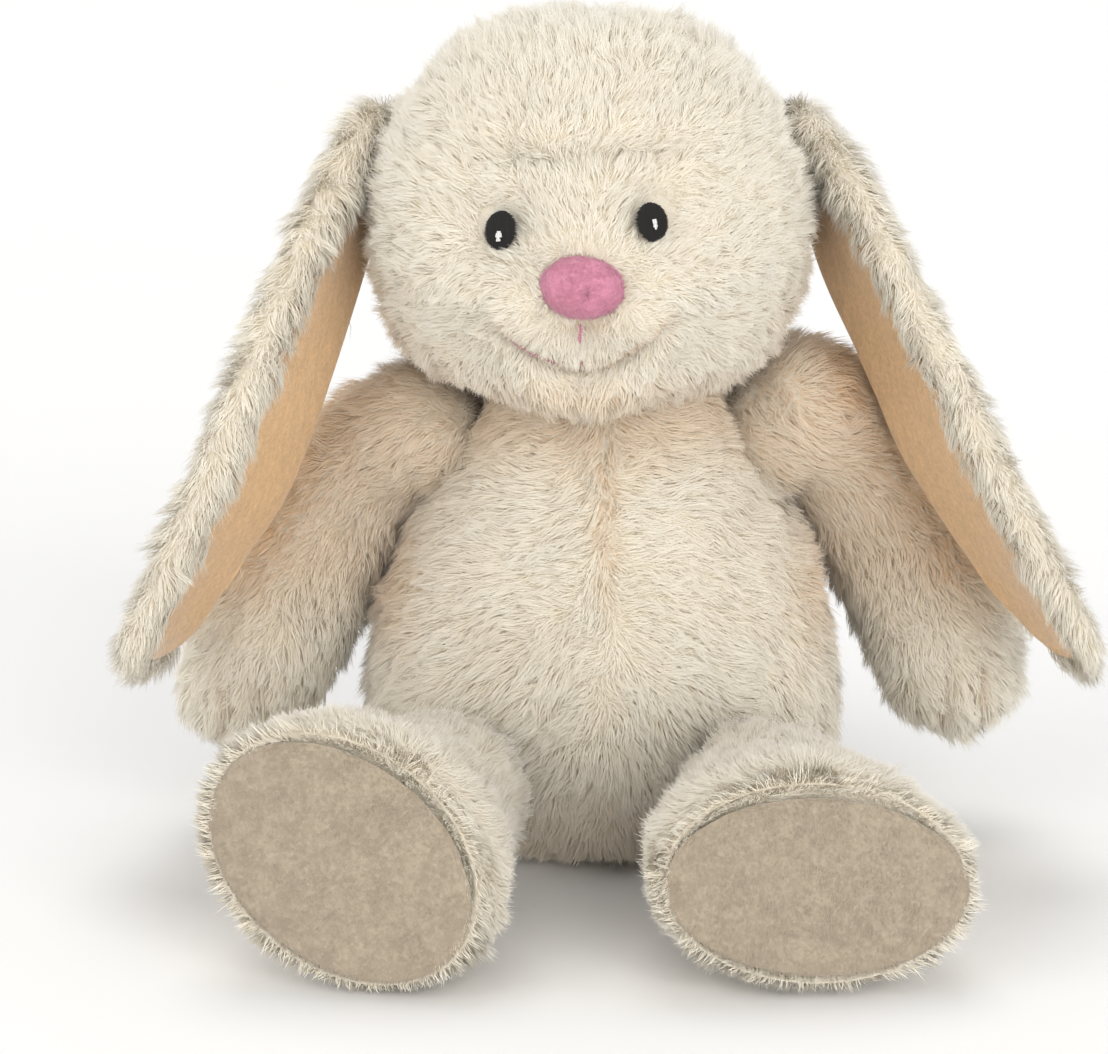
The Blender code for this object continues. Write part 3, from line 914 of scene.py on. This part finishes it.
def pad_axes(node):
    """Middle of a small oval piece on the face, its width, height and outward ways, and its half sizes."""
    points = vectors(frame["nodes"][node].data)
    middle = (points.min(0) + points.max(0)) / 2
    _, _, axes = np.linalg.svd(points - points.mean(0), full_matrices=False)
    height, width, outward = (Vector(axis) for axis in axes)
    if height.z < 0:
        height = -height
    if outward.y > 0:
        outward = -outward
    if width.x < 0:
        width = -width
    sizes = [np.abs((points - middle) @ np.array(axis)).max() for axis in (width, height, outward)]
    return Vector(middle), width, height, outward, sizes


def satin(name, middle, width, height, outward, half_width, half_height, count, rise, seed):
    """An oval of satin stitch: threads side by side across it, over a slight dome."""
    random = np.random.default_rng(seed)
    width, height, outward, middle = (np.array(way) for way in (width, height, outward, middle))
    points, faces = [], []
    gauge = half_height * 2 / count
    stretches, around = 12, 5
    for thread in range(count):
        level = (thread + 0.5) / count * 2 - 1
        run = half_width * math.sqrt(max(0.02, 1 - level * level)) + random.normal(0, 0.00018)
        aside = random.normal(0, 0.05)
        first = len(points)
        for step in range(stretches + 1):
            share = step / stretches * 2 - 1
            dome = rise * max(0.0, 1 - level * level - (share * run / half_width) ** 2) ** 0.5
            pinch = min(1.0, (1 - abs(share)) * 6 + 0.25)
            spine = middle + width * run * share + height * (half_height * level + gauge * aside * share)
            spine = spine + outward * dome
            for corner in range(around):
                turn = math.pi * corner / (around - 1)
                points.append(
                    spine
                    + height * (-math.cos(turn) * gauge * 0.62 * pinch)
                    + outward * (math.sin(turn) * gauge * 0.60 * pinch - gauge * 0.3)
                )
        for step in range(stretches):
            for corner in range(around - 1):
                base = first + step * around + corner
                faces.append((base, base + around, base + around + 1, base + 1))
    obj = surface(name, points, faces)
    if sum(face.normal.dot(Vector(outward)) for face in obj.data.polygons) < 0:
        obj.data.flip_normals()
    return obj


def centreline(node, axis, count):
    """Points down the middle of a thread, from its spread along one axis."""
    points = vectors(frame["nodes"][node].data)
    edges = np.linspace(points[:, axis].min(), points[:, axis].max() + 1e-9, count + 1)
    level = points[:, axis]
    groups = [points[(level >= low) & (level < high)] for low, high in zip(edges, edges[1:])]
    return np.array([group.mean(0) for group in groups if len(group)])


def twisted(name, line, radius, pitch=0.0022):
    """Two strands twisted round each other along a line of points."""
    line = np.asarray(line, float)
    lengths = np.concatenate([[0], np.cumsum(np.linalg.norm(np.diff(line, axis=0), axis=1))])
    count = max(10, int(lengths[-1] / 0.0003))
    at = np.linspace(0, lengths[-1], count)
    spine = np.stack([np.interp(at, lengths, line[:, axis]) for axis in range(3)], 1)
    run = unit(np.gradient(spine, axis=0))
    side = unit(np.cross(run, (0.0, -1.0, 0.05)))
    front = np.cross(side, run)
    sides = 7
    points, faces = [], []
    for strand in range(2):
        phase = at / pitch * 2 * math.pi + math.pi * strand
        centre = spine + (side * np.cos(phase)[:, None] + front * np.sin(phase)[:, None]) * radius * 0.5
        first = len(points)
        for corner in range(count):
            thin = min(1.0, 0.35 + min(corner, count - 1 - corner) * 0.25)
            for turn in range(sides):
                angle = 2 * math.pi * turn / sides
                out = side[corner] * math.cos(angle) + front[corner] * math.sin(angle)
                points.append(centre[corner] + out * radius * 0.56 * thin)
        for corner in range(count - 1):
            for turn in range(sides):
                after = (turn + 1) % sides
                base = first + corner * sides
                faces.append((base + turn, base + after, base + sides + after, base + sides + turn))
        faces.append(tuple(first + turn for turn in reversed(range(sides))))
        faces.append(tuple(first + (count - 1) * sides + turn for turn in range(sides)))
    return surface(name, points, faces)


class PLUSH_OT_face(bpy.types.Operator):
    """Embroidered eyes, padded nose and the stitches of the mouth"""

    bl_idname = "plush.face"
    bl_label = "Face"

    def execute(self, context):
        fur, velour = bodywork(), context.scene.plush_velour
        black = thread_finish("black satin stitch", (0.0045, 0.0040, 0.0036), 9000, 0.02)
        white = thread_finish("white satin stitch", (0.78, 0.78, 0.76), 9000)
        pink = thread_finish("pink thread", scaled(velour.nose, 0.85), 7000)
        for side, sign in SIDES:
            middle, width, height, outward, sizes = pad_axes(f"eye_{side}")
            middle = middle - outward * 0.0034
            ways = (width, height, outward)
            eye = satin(f"stitched_eye_{side}", middle, *ways, sizes[0], sizes[1], 40, 0.0016, 3 + sign)
            finished(eye, black)
            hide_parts(f"eye_{side}")
            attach(eye, "head")
            drop = 0.0022 if sign < 0 else 0.0010
            place = middle + outward * 0.0019 - height * drop + width * 0.0002
            glint = satin(f"stitched_glint_{side}", place, *ways, 0.0011, 0.0017, 5, 0.0003, 7 + sign)
            finished(glint, white)
            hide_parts(f"eye_glint_{side}")
            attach(glint, "head")

        low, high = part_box("nose_pad")
        middle = (low + high) / 2
        back, front = (middle.x, high.y, middle.z), (middle.x, low.y, middle.z)
        nose = wrapped("nose", "nose_pad", back, front, 14, 34, 0.0008, up=(0, 0, 1), reach=0.04)
        nose_finish = velour_finish("nose velour", velour.nose, (500, 500, 500), 0.3, 1500.0)
        finished(subdivided(nose), nose_finish)
        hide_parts("nose_pad")
        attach(nose, "head")

        def flow(points):
            offset = points - np.array(middle)
            swirl = np.stack([-offset[:, 2], np.zeros(len(points)), offset[:, 0]], 1)
            return offset * 0.5 + swirl * 0.9 + np.array((0, 0, -0.006))

        def pile(points):
            return np.full(len(points), 0.0019)

        colours = ("nose fibres", scaled(velour.nose, 1.12), scaled(velour.nose, 0.62), velour.nose)
        for piece in grow_fur(
            "nose_pile", nose, fur, flow, pile, 61, density=4.2, lean=(30, 68), clumping=0.5, wild=1.5,
            colours=colours, width=0.62, fine=0.32,
        ):
            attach(piece, "head")

        stitch = centreline("nose_stitch", 2, 6) + (0, -0.0036, 0.0022)
        stitch = twisted("nose_stitch_thread", stitch, 0.00070)
        lip = centreline("mouth_thread", 0, 24) + (0, 0.0022, 0)
        lip = twisted("mouth_stitch_thread", lip, 0.0006)
        for obj, node in ((stitch, "nose_stitch"), (lip, "mouth_thread")):
            finished(obj, pink)
            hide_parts(node)
            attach(obj, "head")
        return {"FINISHED"}


def copied(name, node, levels=1):
    """A rounder copy of a CAD solid."""
    obj = link(bpy.data.objects.new(name, frame["nodes"][node].data.copy()))
    shape = bmesh.new()
    shape.from_mesh(obj.data)
    bmesh.ops.remove_doubles(shape, verts=shape.verts, dist=1e-5)
    shape.to_mesh(obj.data)
    shape.free()
    subdivided(obj, levels)
    obj.data.shade_smooth()
    return obj


def part_of(obj, wanted):
    """A copy of a skin with only the faces for which wanted(middle, normal) holds."""
    copy = link(bpy.data.objects.new(obj.name + "_ground", obj.data.copy()))
    shape = bmesh.new()
    shape.from_mesh(copy.data)
    spare = [face for face in shape.faces if not wanted(face.calc_center_median(), face.normal)]
    bmesh.ops.delete(shape, geom=spare, context="FACES")
    shape.to_mesh(copy.data)
    shape.free()
    return copy


def rippled(obj, amount, stretch, seed):
    """Soft waves in a cloth; `stretch` gives their wave numbers along each axis."""
    random = np.random.default_rng(seed)

    def change(points, normals):
        height = np.zeros(len(points))
        for _ in range(5):
            wave = random.normal(0, 1, 3) * np.array(stretch)
            height += np.sin(points @ wave + random.uniform(0, 6.28))
        return points + normals * (amount * height / 2.2)[:, None]

    return moved(obj, change)


EAR_LINE = (  # height, depth and half depth of an ear's middle line
    (0.0672, -0.044, 0.0192),
    (0.1015, -0.046, 0.0282),
    (0.1335, -0.046, 0.0304),
    (0.1662, -0.041, 0.0299),
    (0.1972, -0.028, 0.0295),
    (0.2277, -0.013, 0.0284),
    (0.2540, 0.001, 0.0244),
    (0.2660, 0.006, 0.0178),
)


def ahead_in_ear(points):
    """-1 on the back edge of an ear and 1 on its front edge."""
    heights, depths, halves = np.array(EAR_LINE).T
    depth = np.interp(points[:, 2], heights, depths)
    return (depth - points[:, 1]) / np.interp(points[:, 2], heights, halves)


def rim(points):
    """1 along the front edge and the root of an ear, where the fur is fullest."""
    front = squares((ahead_in_ear(points) - 0.35) / 0.45)
    return np.maximum(front, 0.8 * above(points, 0.240, 0.02))


def tightened(points, sign):
    """Draws the front edge and the tip of an ear's lining back a little, in the plane of the ear."""
    shift = 0.0022 * squares((ahead_in_ear(points) - 0.1) / 0.7)
    raised = 0.24 * np.maximum(0, 0.100 - points[:, 2])
    return points + np.stack([-sign * (0.36 * shift + 0.0006 + 0.45 * raised), shift, raised], 1)


class PLUSH_OT_ears(bpy.types.Operator):
    """Long ears: a furry back panel and a velour lining"""

    bl_idname = "plush.ears"
    bl_label = "Ears"

    def execute(self, context):
        fur = bodywork()
        velour = context.scene.plush_velour
        lining_finish = velour_finish("ear velour", velour.lining, (300, 300, 100), 0.36, 620.0)
        for side, sign in SIDES:
            back = copied(f"ear_{side}_skin", f"ear_back_{side}")
            finished(back, backing_finish(fur))
            lining = copied(f"ear_{side}_lining", f"ear_lining_{side}", 2)
            rippled(lining, 0.0011, (130, 60, 45), 71 + sign)
            moved(back, lambda points, normals: points + normals * (0.0026 * rim(points))[:, None])
            moved(lining, lambda points, normals: tightened(points, sign))
            finished(lining, lining_finish)
            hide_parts(f"ear_back_{side}")
            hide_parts(f"ear_lining_{side}")
            root = Vector(JOINTS[f"ear_lift_{side}"]["pos_m"])
            tip = Vector((sign * 0.170, -0.044, 0.066))
            way = (tip - root).normalized()
            inward = Vector((-sign * 0.86, -0.22, -0.44))
            low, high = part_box(f"ear_lining_{side}")

            def furry(middle, normal):
                ends = middle.z > high.z - 0.014 or middle.z < low.z + 0.010
                return normal.dot(inward) < 0.50 or ends or ahead_in_ear(np.array([middle]))[0] > 0.66

            def flow(points):
                edge = rim(points)[:, None]
                return np.array(way) + np.array(inward) * edge * 0.50 + np.array((0, -0.10, 0))

            def pile(points):
                root_end = 0.22 * above(points, 0.225, 0.03)
                tip_end = 0.22 * below(points, 0.084, 0.02)
                left_ear = 0.14 * squares((-points[:, 0] - 0.060) / 0.02)
                return fur.pile * (0.78 + root_end + tip_end + left_ear)

            def upright(points):
                return 4 * rim(points)

            ground = part_of(back, furry)
            pieces = grow_fur(
                f"ear_{side}_fur", ground, fur, flow, pile, 31 + sign, wild=1.1, upright=upright,
            )
            bpy.data.objects.remove(ground)
            for piece in (back, lining, *pieces):
                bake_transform(piece)
        return {"FINISHED"}


ARM_PATHS = {
    "right": (
        ((0.0600, 0.000, 0.1507), (0.966, 0.00, 0.259)),
        ((0.0755, 0.004, 0.1575), (0.97, 0.10, -0.24)),
        ((0.0910, 0.011, 0.1390), (0.73, 0.12, -0.68)),
        ((0.1205, 0.011, 0.0870), (0.45, -0.20, -0.87)),
        ((0.1335, -0.004, 0.0390), (0.05, -0.22, -0.97)),
    ),
    "left": (
        ((-0.0600, 0.000, 0.1507), (-0.966, 0.00, 0.259)),
        ((-0.0735, 0.004, 0.1515), (-0.95, 0.10, -0.31)),
        ((-0.0900, 0.011, 0.1350), (-0.72, 0.12, -0.69)),
        ((-0.1185, 0.009, 0.0850), (-0.50, -0.26, -0.82)),
        ((-0.1415, -0.009, 0.0370), (-0.28, -0.22, -0.93)),
    ),
}


class PLUSH_OT_arms(bpy.types.Operator):
    """Arms with their fur and finger creases"""

    bl_idname = "plush.arms"
    bl_label = "Arms"

    def execute(self, context):
        fur = bodywork()
        thread = thread_finish("cream thread", scaled(fur.root, 0.9), 7000)
        for side, sign in SIDES:
            cover = f"arm_cover_{side}"
            path = ARM_PATHS[side]
            rings = slices(cover, path, 26, 30, reach=0.055)
            rings = tucked(rings, (-sign * 0.966, 0, -0.259), ((0.006, 1.0), (0.014, 0.8)))
            skin = skinned(f"arm_{side}_skin", rings, 0.0010)
            threads = [centreline(f"finger_thread_{name}_{side}", 2, 8) for name in ("inner", "outer")]

            def crease(points):
                near = np.zeros(len(points))
                for line in threads:
                    top, bottom = line[:, 2].max(), line[:, 2].min()
                    aside = (points[:, 0] - line[:, 0].mean()) / 0.0022
                    level = squares((top + 0.004 - points[:, 2]) / 0.010)
                    level = level * squares((points[:, 2] - bottom + 0.006) / 0.008)
                    near += np.exp(-aside * aside) * level * ahead_of(points, 0.002, 0.012)
                return near

            def fuller(points, normals):
                change = -0.0042 * crease(points)
                change += 0.0040 * hill(points, (sign * 0.064, 0, 0.172), (0.014, 0.035, 0.012))
                if side == "right":
                    change += 0.0060 * hill(points, (0.078, 0, 0.180), (0.026, 0.04, 0.022))
                inner = squares((-sign * normals[:, 0] - 0.2) / 0.5)
                inner = inner * hill(points * (0, 1, 1), (0, 0, 0.105), (1, 0.04, 0.035))
                return points + normals * (change + 0.0030 * inner)[:, None]

            moved(subdivided(skin), fuller)
            finished(skin, backing_finish(fur))
            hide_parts(cover)
            for name, line in zip(("inner", "outer"), threads):
                stitch = twisted(f"finger_stitch_{name}_{side}", line + (0, 0.0022, 0), 0.0006)
                finished(stitch, thread)
                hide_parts(f"finger_thread_{name}_{side}")
                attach(stitch, f"arm_{side}")

            def flow(points):
                share = below(points, 0.150, 0.05)[:, None]
                top = np.array((sign * 0.9, -0.05, -0.35))
                return top * (1 - share) + np.array((sign * 0.42, -0.12, -0.9)) * share

            def pile(points):
                return fur.pile * 0.95 * (1 - 0.35 * crease(points))

            # Painted shade, tan: in the finger creases, and on the upper arm under the ear, most on its
            # outer front, standing in for the ear's shadow and the peach light bounced from its lining.
            def painted_shade(points):
                upper = above(points, 0.068, 0.045)
                outer = squares((sign * points[:, 0] - 0.082 - 0.58 * (0.150 - points[:, 2])) / 0.022)
                ahead = squares((0.030 - points[:, 1]) / 0.020)
                under_ear = upper * (0.20 + 0.20 * ahead + 0.50 * outer * ahead)
                return np.maximum(0.40 * crease(points), under_ear)

            pieces = grow_fur(f"arm_{side}_fur", skin, fur, flow, pile, 41 + sign, painted_shade=painted_shade)
            for piece in (skin, *pieces):
                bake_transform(piece)
        return {"FINISHED"}


FOOT_WAYS = {"left": (-0.16, -0.97, 0.16), "right": (0.10, -0.98, 0.12)}
SOLE_SPREAD = 1.17  # each sole panel reaches this much further than its CAD disc, in under the rim of fur


def domed(obj, way, rise):
    """Pushes the middle of a flat oval panel out along `way`."""

    def change(points, normals):
        outward = np.array(way)
        offset = points - points.mean(0)
        flat = offset - (offset @ outward)[:, None] * outward
        spread = np.linalg.pinv(flat.T @ flat / len(flat) + 1e-12 * np.eye(3), rcond=1e-3)
        level = np.einsum("ni,ij,nj->n", flat, spread, flat) / 4.4
        return points + outward * (rise * np.clip(1 - level, -0.15, 1))[:, None]

    return moved(obj, change)


class PLUSH_OT_legs(bpy.types.Operator):
    """Legs with wide feet and inset soles"""

    bl_idname = "plush.legs"
    bl_label = "Legs"

    def execute(self, context):
        fur = bodywork()
        velour = context.scene.plush_velour
        sole_finish = velour_finish("sole plush", velour.sole, (700, 700, 240), 0.26, 800.0)
        for side, sign in SIDES:
            cover = f"leg_cover_{side}"
            hip = Vector(JOINTS[f"leg_lift_{side}"]["pos_m"])
            facing = Vector(FOOT_WAYS[side]).normalized()
            sole = sum(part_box(f"sole_{side}"), Vector()) / 2
            way = (sole - hip).normalized()
            brim = sole + facing * 0.0015
            path = ((hip - way * 0.0290, way), (hip + way * 0.012, way))
            path += ((brim - facing * 0.022, facing), (brim, facing))
            rings = slices(cover, path, 26, 48, up=(0, 0, 1), reach=0.10)
            rings = tucked(rings, facing, ((0.0010, 0.965), (-0.0002, 0.93), (-0.0030, 0.88)), start=False)
            skin = skinned(f"leg_{side}_skin", rings, 0.0008)
            finished(subdivided(skin), backing_finish(fur))
            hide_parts(cover)

            panel = domed(copied(f"sole_{side}_panel", f"sole_{side}", 2), facing, 0.0030)
            seated = np.array(sole + facing * 0.0026 - Vector((0, 0, 0.0003)))
            moved(panel, lambda points, normals: (points - np.array(sole)) * SOLE_SPREAD + seated)
            finished(panel, sole_finish)
            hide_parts(f"sole_{side}")
            ground = part_of(panel, lambda middle, normal: normal.dot(facing) > 0.3)
            nap_colours = (scaled(velour.sole, 1.06), scaled(velour.sole, 0.84), velour.sole)

            def nap_flow(points):
                return np.tile((0.25 * sign, 0, -1.0), (len(points), 1))

            def nap_pile(points):
                return np.full(len(points), 0.0022)

            nap = grow_fur(
                f"sole_{side}_pile", ground, fur, nap_flow, nap_pile, 66 + sign, density=2.2, lean=(35, 70),
                clumping=0.18, colours=("sole fibres", *nap_colours, 0.06), width=0.7,
                fine=0.40, wild=0.35, mottle=0.25,
            )
            bpy.data.objects.remove(ground)

            ahead_way = np.array(facing)
            level_way = np.array(facing.cross(Vector((0, 0, 1))).normalized())
            upper_way = np.cross(level_way, ahead_way)

            def around_sole(points):
                """How far ahead of the sole's middle points are, and their offsets from it in its plane."""
                offset = points - np.array(sole)
                ahead = offset @ ahead_way
                return ahead, offset - ahead[:, None] * ahead_way

            edge = around_sole(rings[-1])[1]
            turns = np.arctan2(edge @ upper_way, edge @ level_way)
            order = np.argsort(turns)
            spans = np.linalg.norm(edge, axis=1)[order]

            def beyond(points):
                """Distance out from the sole's edge, how far ahead, and the way out."""
                ahead, flat = around_sole(points)
                turn = np.arctan2(flat @ upper_way, flat @ level_way)
                edge_at = np.interp(turn, turns[order], spans, period=2 * math.pi)
                return np.linalg.norm(flat, axis=1) - edge_at, ahead, unit(flat)

            def flow(points):
                out, ahead, flat = beyond(points)
                rimmed = squares((ahead + 0.018) / 0.014)[:, None]
                inner = squares((0.0040 - out) / 0.0045)[:, None] * rimmed
                return ahead_way * (1.25 * rimmed - 0.8) + flat * (0.35 + 0.35 * rimmed - inner * 0.85)

            def pile(points):
                out, ahead, _ = beyond(points)
                under = below(points, 0.014, 0.010)
                rimmed = squares((ahead + 0.020) / 0.014)
                inner = squares((0.0040 - out) / 0.004) * rimmed
                return fur.pile * (0.84 - 0.10 * rimmed - 0.10 * inner) * (1 - 0.45 * under)

            def keep(points):
                out, ahead, _ = beyond(points)
                return ~((out < -0.0016) & (ahead > -0.012))

            def upright(points):
                return 12 * squares((beyond(points)[1] + 0.016) / 0.014)

            pieces = grow_fur(
                f"leg_{side}_fur", skin, fur, flow, pile, 51 + sign, density=1.25, lean=(38, 74), keep=keep,
                upright=upright, clumping=0.38, wild=0.85,
            )
            for piece in (skin, *pieces):
                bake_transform(piece)
            for piece in (panel, *nap):
                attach(piece, f"leg_{side}")
        return {"FINISHED"}


class PLUSH_OT_inside(bpy.types.Operator):
    """Stuffing and the pellet bag, under the covers"""

    bl_idname = "plush.inside"
    bl_label = "Inside"

    def execute(self, context):
        fibre, cloth = stuffing_finish(), pellet_cloth_finish()
        for name, node in frame["nodes"].items():
            if "stuffing" in name or name == "pellet_bag":
                node.data.materials.clear()
                node.data.materials.append(cloth if name == "pellet_bag" else fibre)
        return {"FINISHED"}


class PLUSH_OT_stage(bpy.types.Operator):
    """Pale floor, soft studio light and the camera"""

    bl_idname = "plush.stage"
    bl_label = "Stage"

    def execute(self, context):
        scene = context.scene
        stage = scene.plush_stage
        scene.view_settings.view_transform = "Standard"
        aim = Vector(stage.aim)

        bpy.ops.mesh.primitive_plane_add(size=40, location=(0, 12, 0))
        floor = context.object
        floor.name = "floor"
        finish = Finish("studio floor")
        shade = finish.mix(finish.noise(finish.place(), 3.0, 2.0), scaled(stage.floor, 0.985), stage.floor)
        floor.data.materials.append(finish.feed(Base_Color=shade, Roughness=0.75, Specular_IOR_Level=0.2))
        floor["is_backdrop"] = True

        world = bpy.data.worlds.new("studio")
        world.use_nodes = True
        backdrop = world.node_tree.nodes["Background"]
        backdrop.inputs["Color"].default_value = (1.0, 1.0, 1.0, 1)
        backdrop.inputs["Strength"].default_value = 0.64
        scene.world = world
        for name, direction, power, softness, tint in (
            ("key light", (-0.38, 0.85, -0.32), 1.52, 40, (1.0, 0.985, 0.955)),
            ("fill light", (0.8, 0.6, -0.30), 0.95, 60, (1.0, 0.97, 0.92)),
            ("top light", (0.05, -0.30, -0.95), 0.66, 35, (1.0, 0.99, 0.97)),
            ("low light", (0.0, 0.95, 0.22), 0.42, 50, (1.0, 0.95, 0.87)),
        ):
            lamp = bpy.data.lights.new(name, "SUN")
            lamp.energy = power
            lamp.angle = math.radians(softness)
            lamp.color = tint
            holder = link(bpy.data.objects.new(name, lamp))
            holder.location = aim - Vector(direction)
            holder.rotation_euler = Vector(direction).to_track_quat("-Z", "Y").to_euler()

        camera = bpy.data.cameras.new("camera")
        camera.lens = stage.lens
        camera.sensor_width = 36
        camera.clip_start = 0.05
        camera.clip_end = 50
        holder = link(bpy.data.objects.new("camera", camera))
        back = Vector((0, -math.cos(stage.elevation), math.sin(stage.elevation)))
        holder.location = aim + back * stage.distance
        holder.rotation_euler = (math.pi / 2 - stage.elevation, 0, 0)
        scene.camera = holder
        return {"FINISHED"}


class PLUSH_PT_panel(bpy.types.Panel):
    """Lists the pieces of the rabbit and their settings"""

    bl_idname = "PLUSH_PT_panel"
    bl_label = "Plush rabbit"
    bl_space_type = "VIEW_3D"
    bl_region_type = "UI"
    bl_category = "Plush"

    def draw(self, context):
        for group in ("plush_fur", "plush_velour", "plush_stage"):
            settings = getattr(context.scene, group)
            box = self.layout.box()
            for name in settings.bl_rna.properties.keys():
                if name not in ("rna_type", "name"):
                    box.prop(settings, name)
        for piece in PIECES:
            self.layout.operator(piece.bl_idname)


PIECES = (
    PLUSH_OT_stage,
    PLUSH_OT_torso,
    PLUSH_OT_tail,
    PLUSH_OT_head,
    PLUSH_OT_face,
    PLUSH_OT_ears,
    PLUSH_OT_arms,
    PLUSH_OT_legs,
    PLUSH_OT_inside,
)
SETTINGS = (
    ("plush_fur", FurSettings),
    ("plush_velour", VelourSettings),
    ("plush_stage", StageSettings),
)


def register():
    for name, group in SETTINGS:
        bpy.utils.register_class(group)
        setattr(bpy.types.Scene, name, bpy.props.PointerProperty(type=group))
    for piece in (*PIECES, PLUSH_PT_panel):
        bpy.utils.register_class(piece)


def unregister():
    for piece in (PLUSH_PT_panel, *reversed(PIECES)):
        bpy.utils.unregister_class(piece)
    for name, group in reversed(SETTINGS):
        delattr(bpy.types.Scene, name)
        bpy.utils.unregister_class(group)


def main():
    register()
    for piece in PIECES:
        group, name = piece.bl_idname.split(".")
        getattr(getattr(bpy.ops, group), name)()
    boxes = {"cad": CAD_BOX, "visual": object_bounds()}
    boxes = {name: [list(corner) for corner in box] for name, box in boxes.items()}


if __name__ == "__main__":
    main()
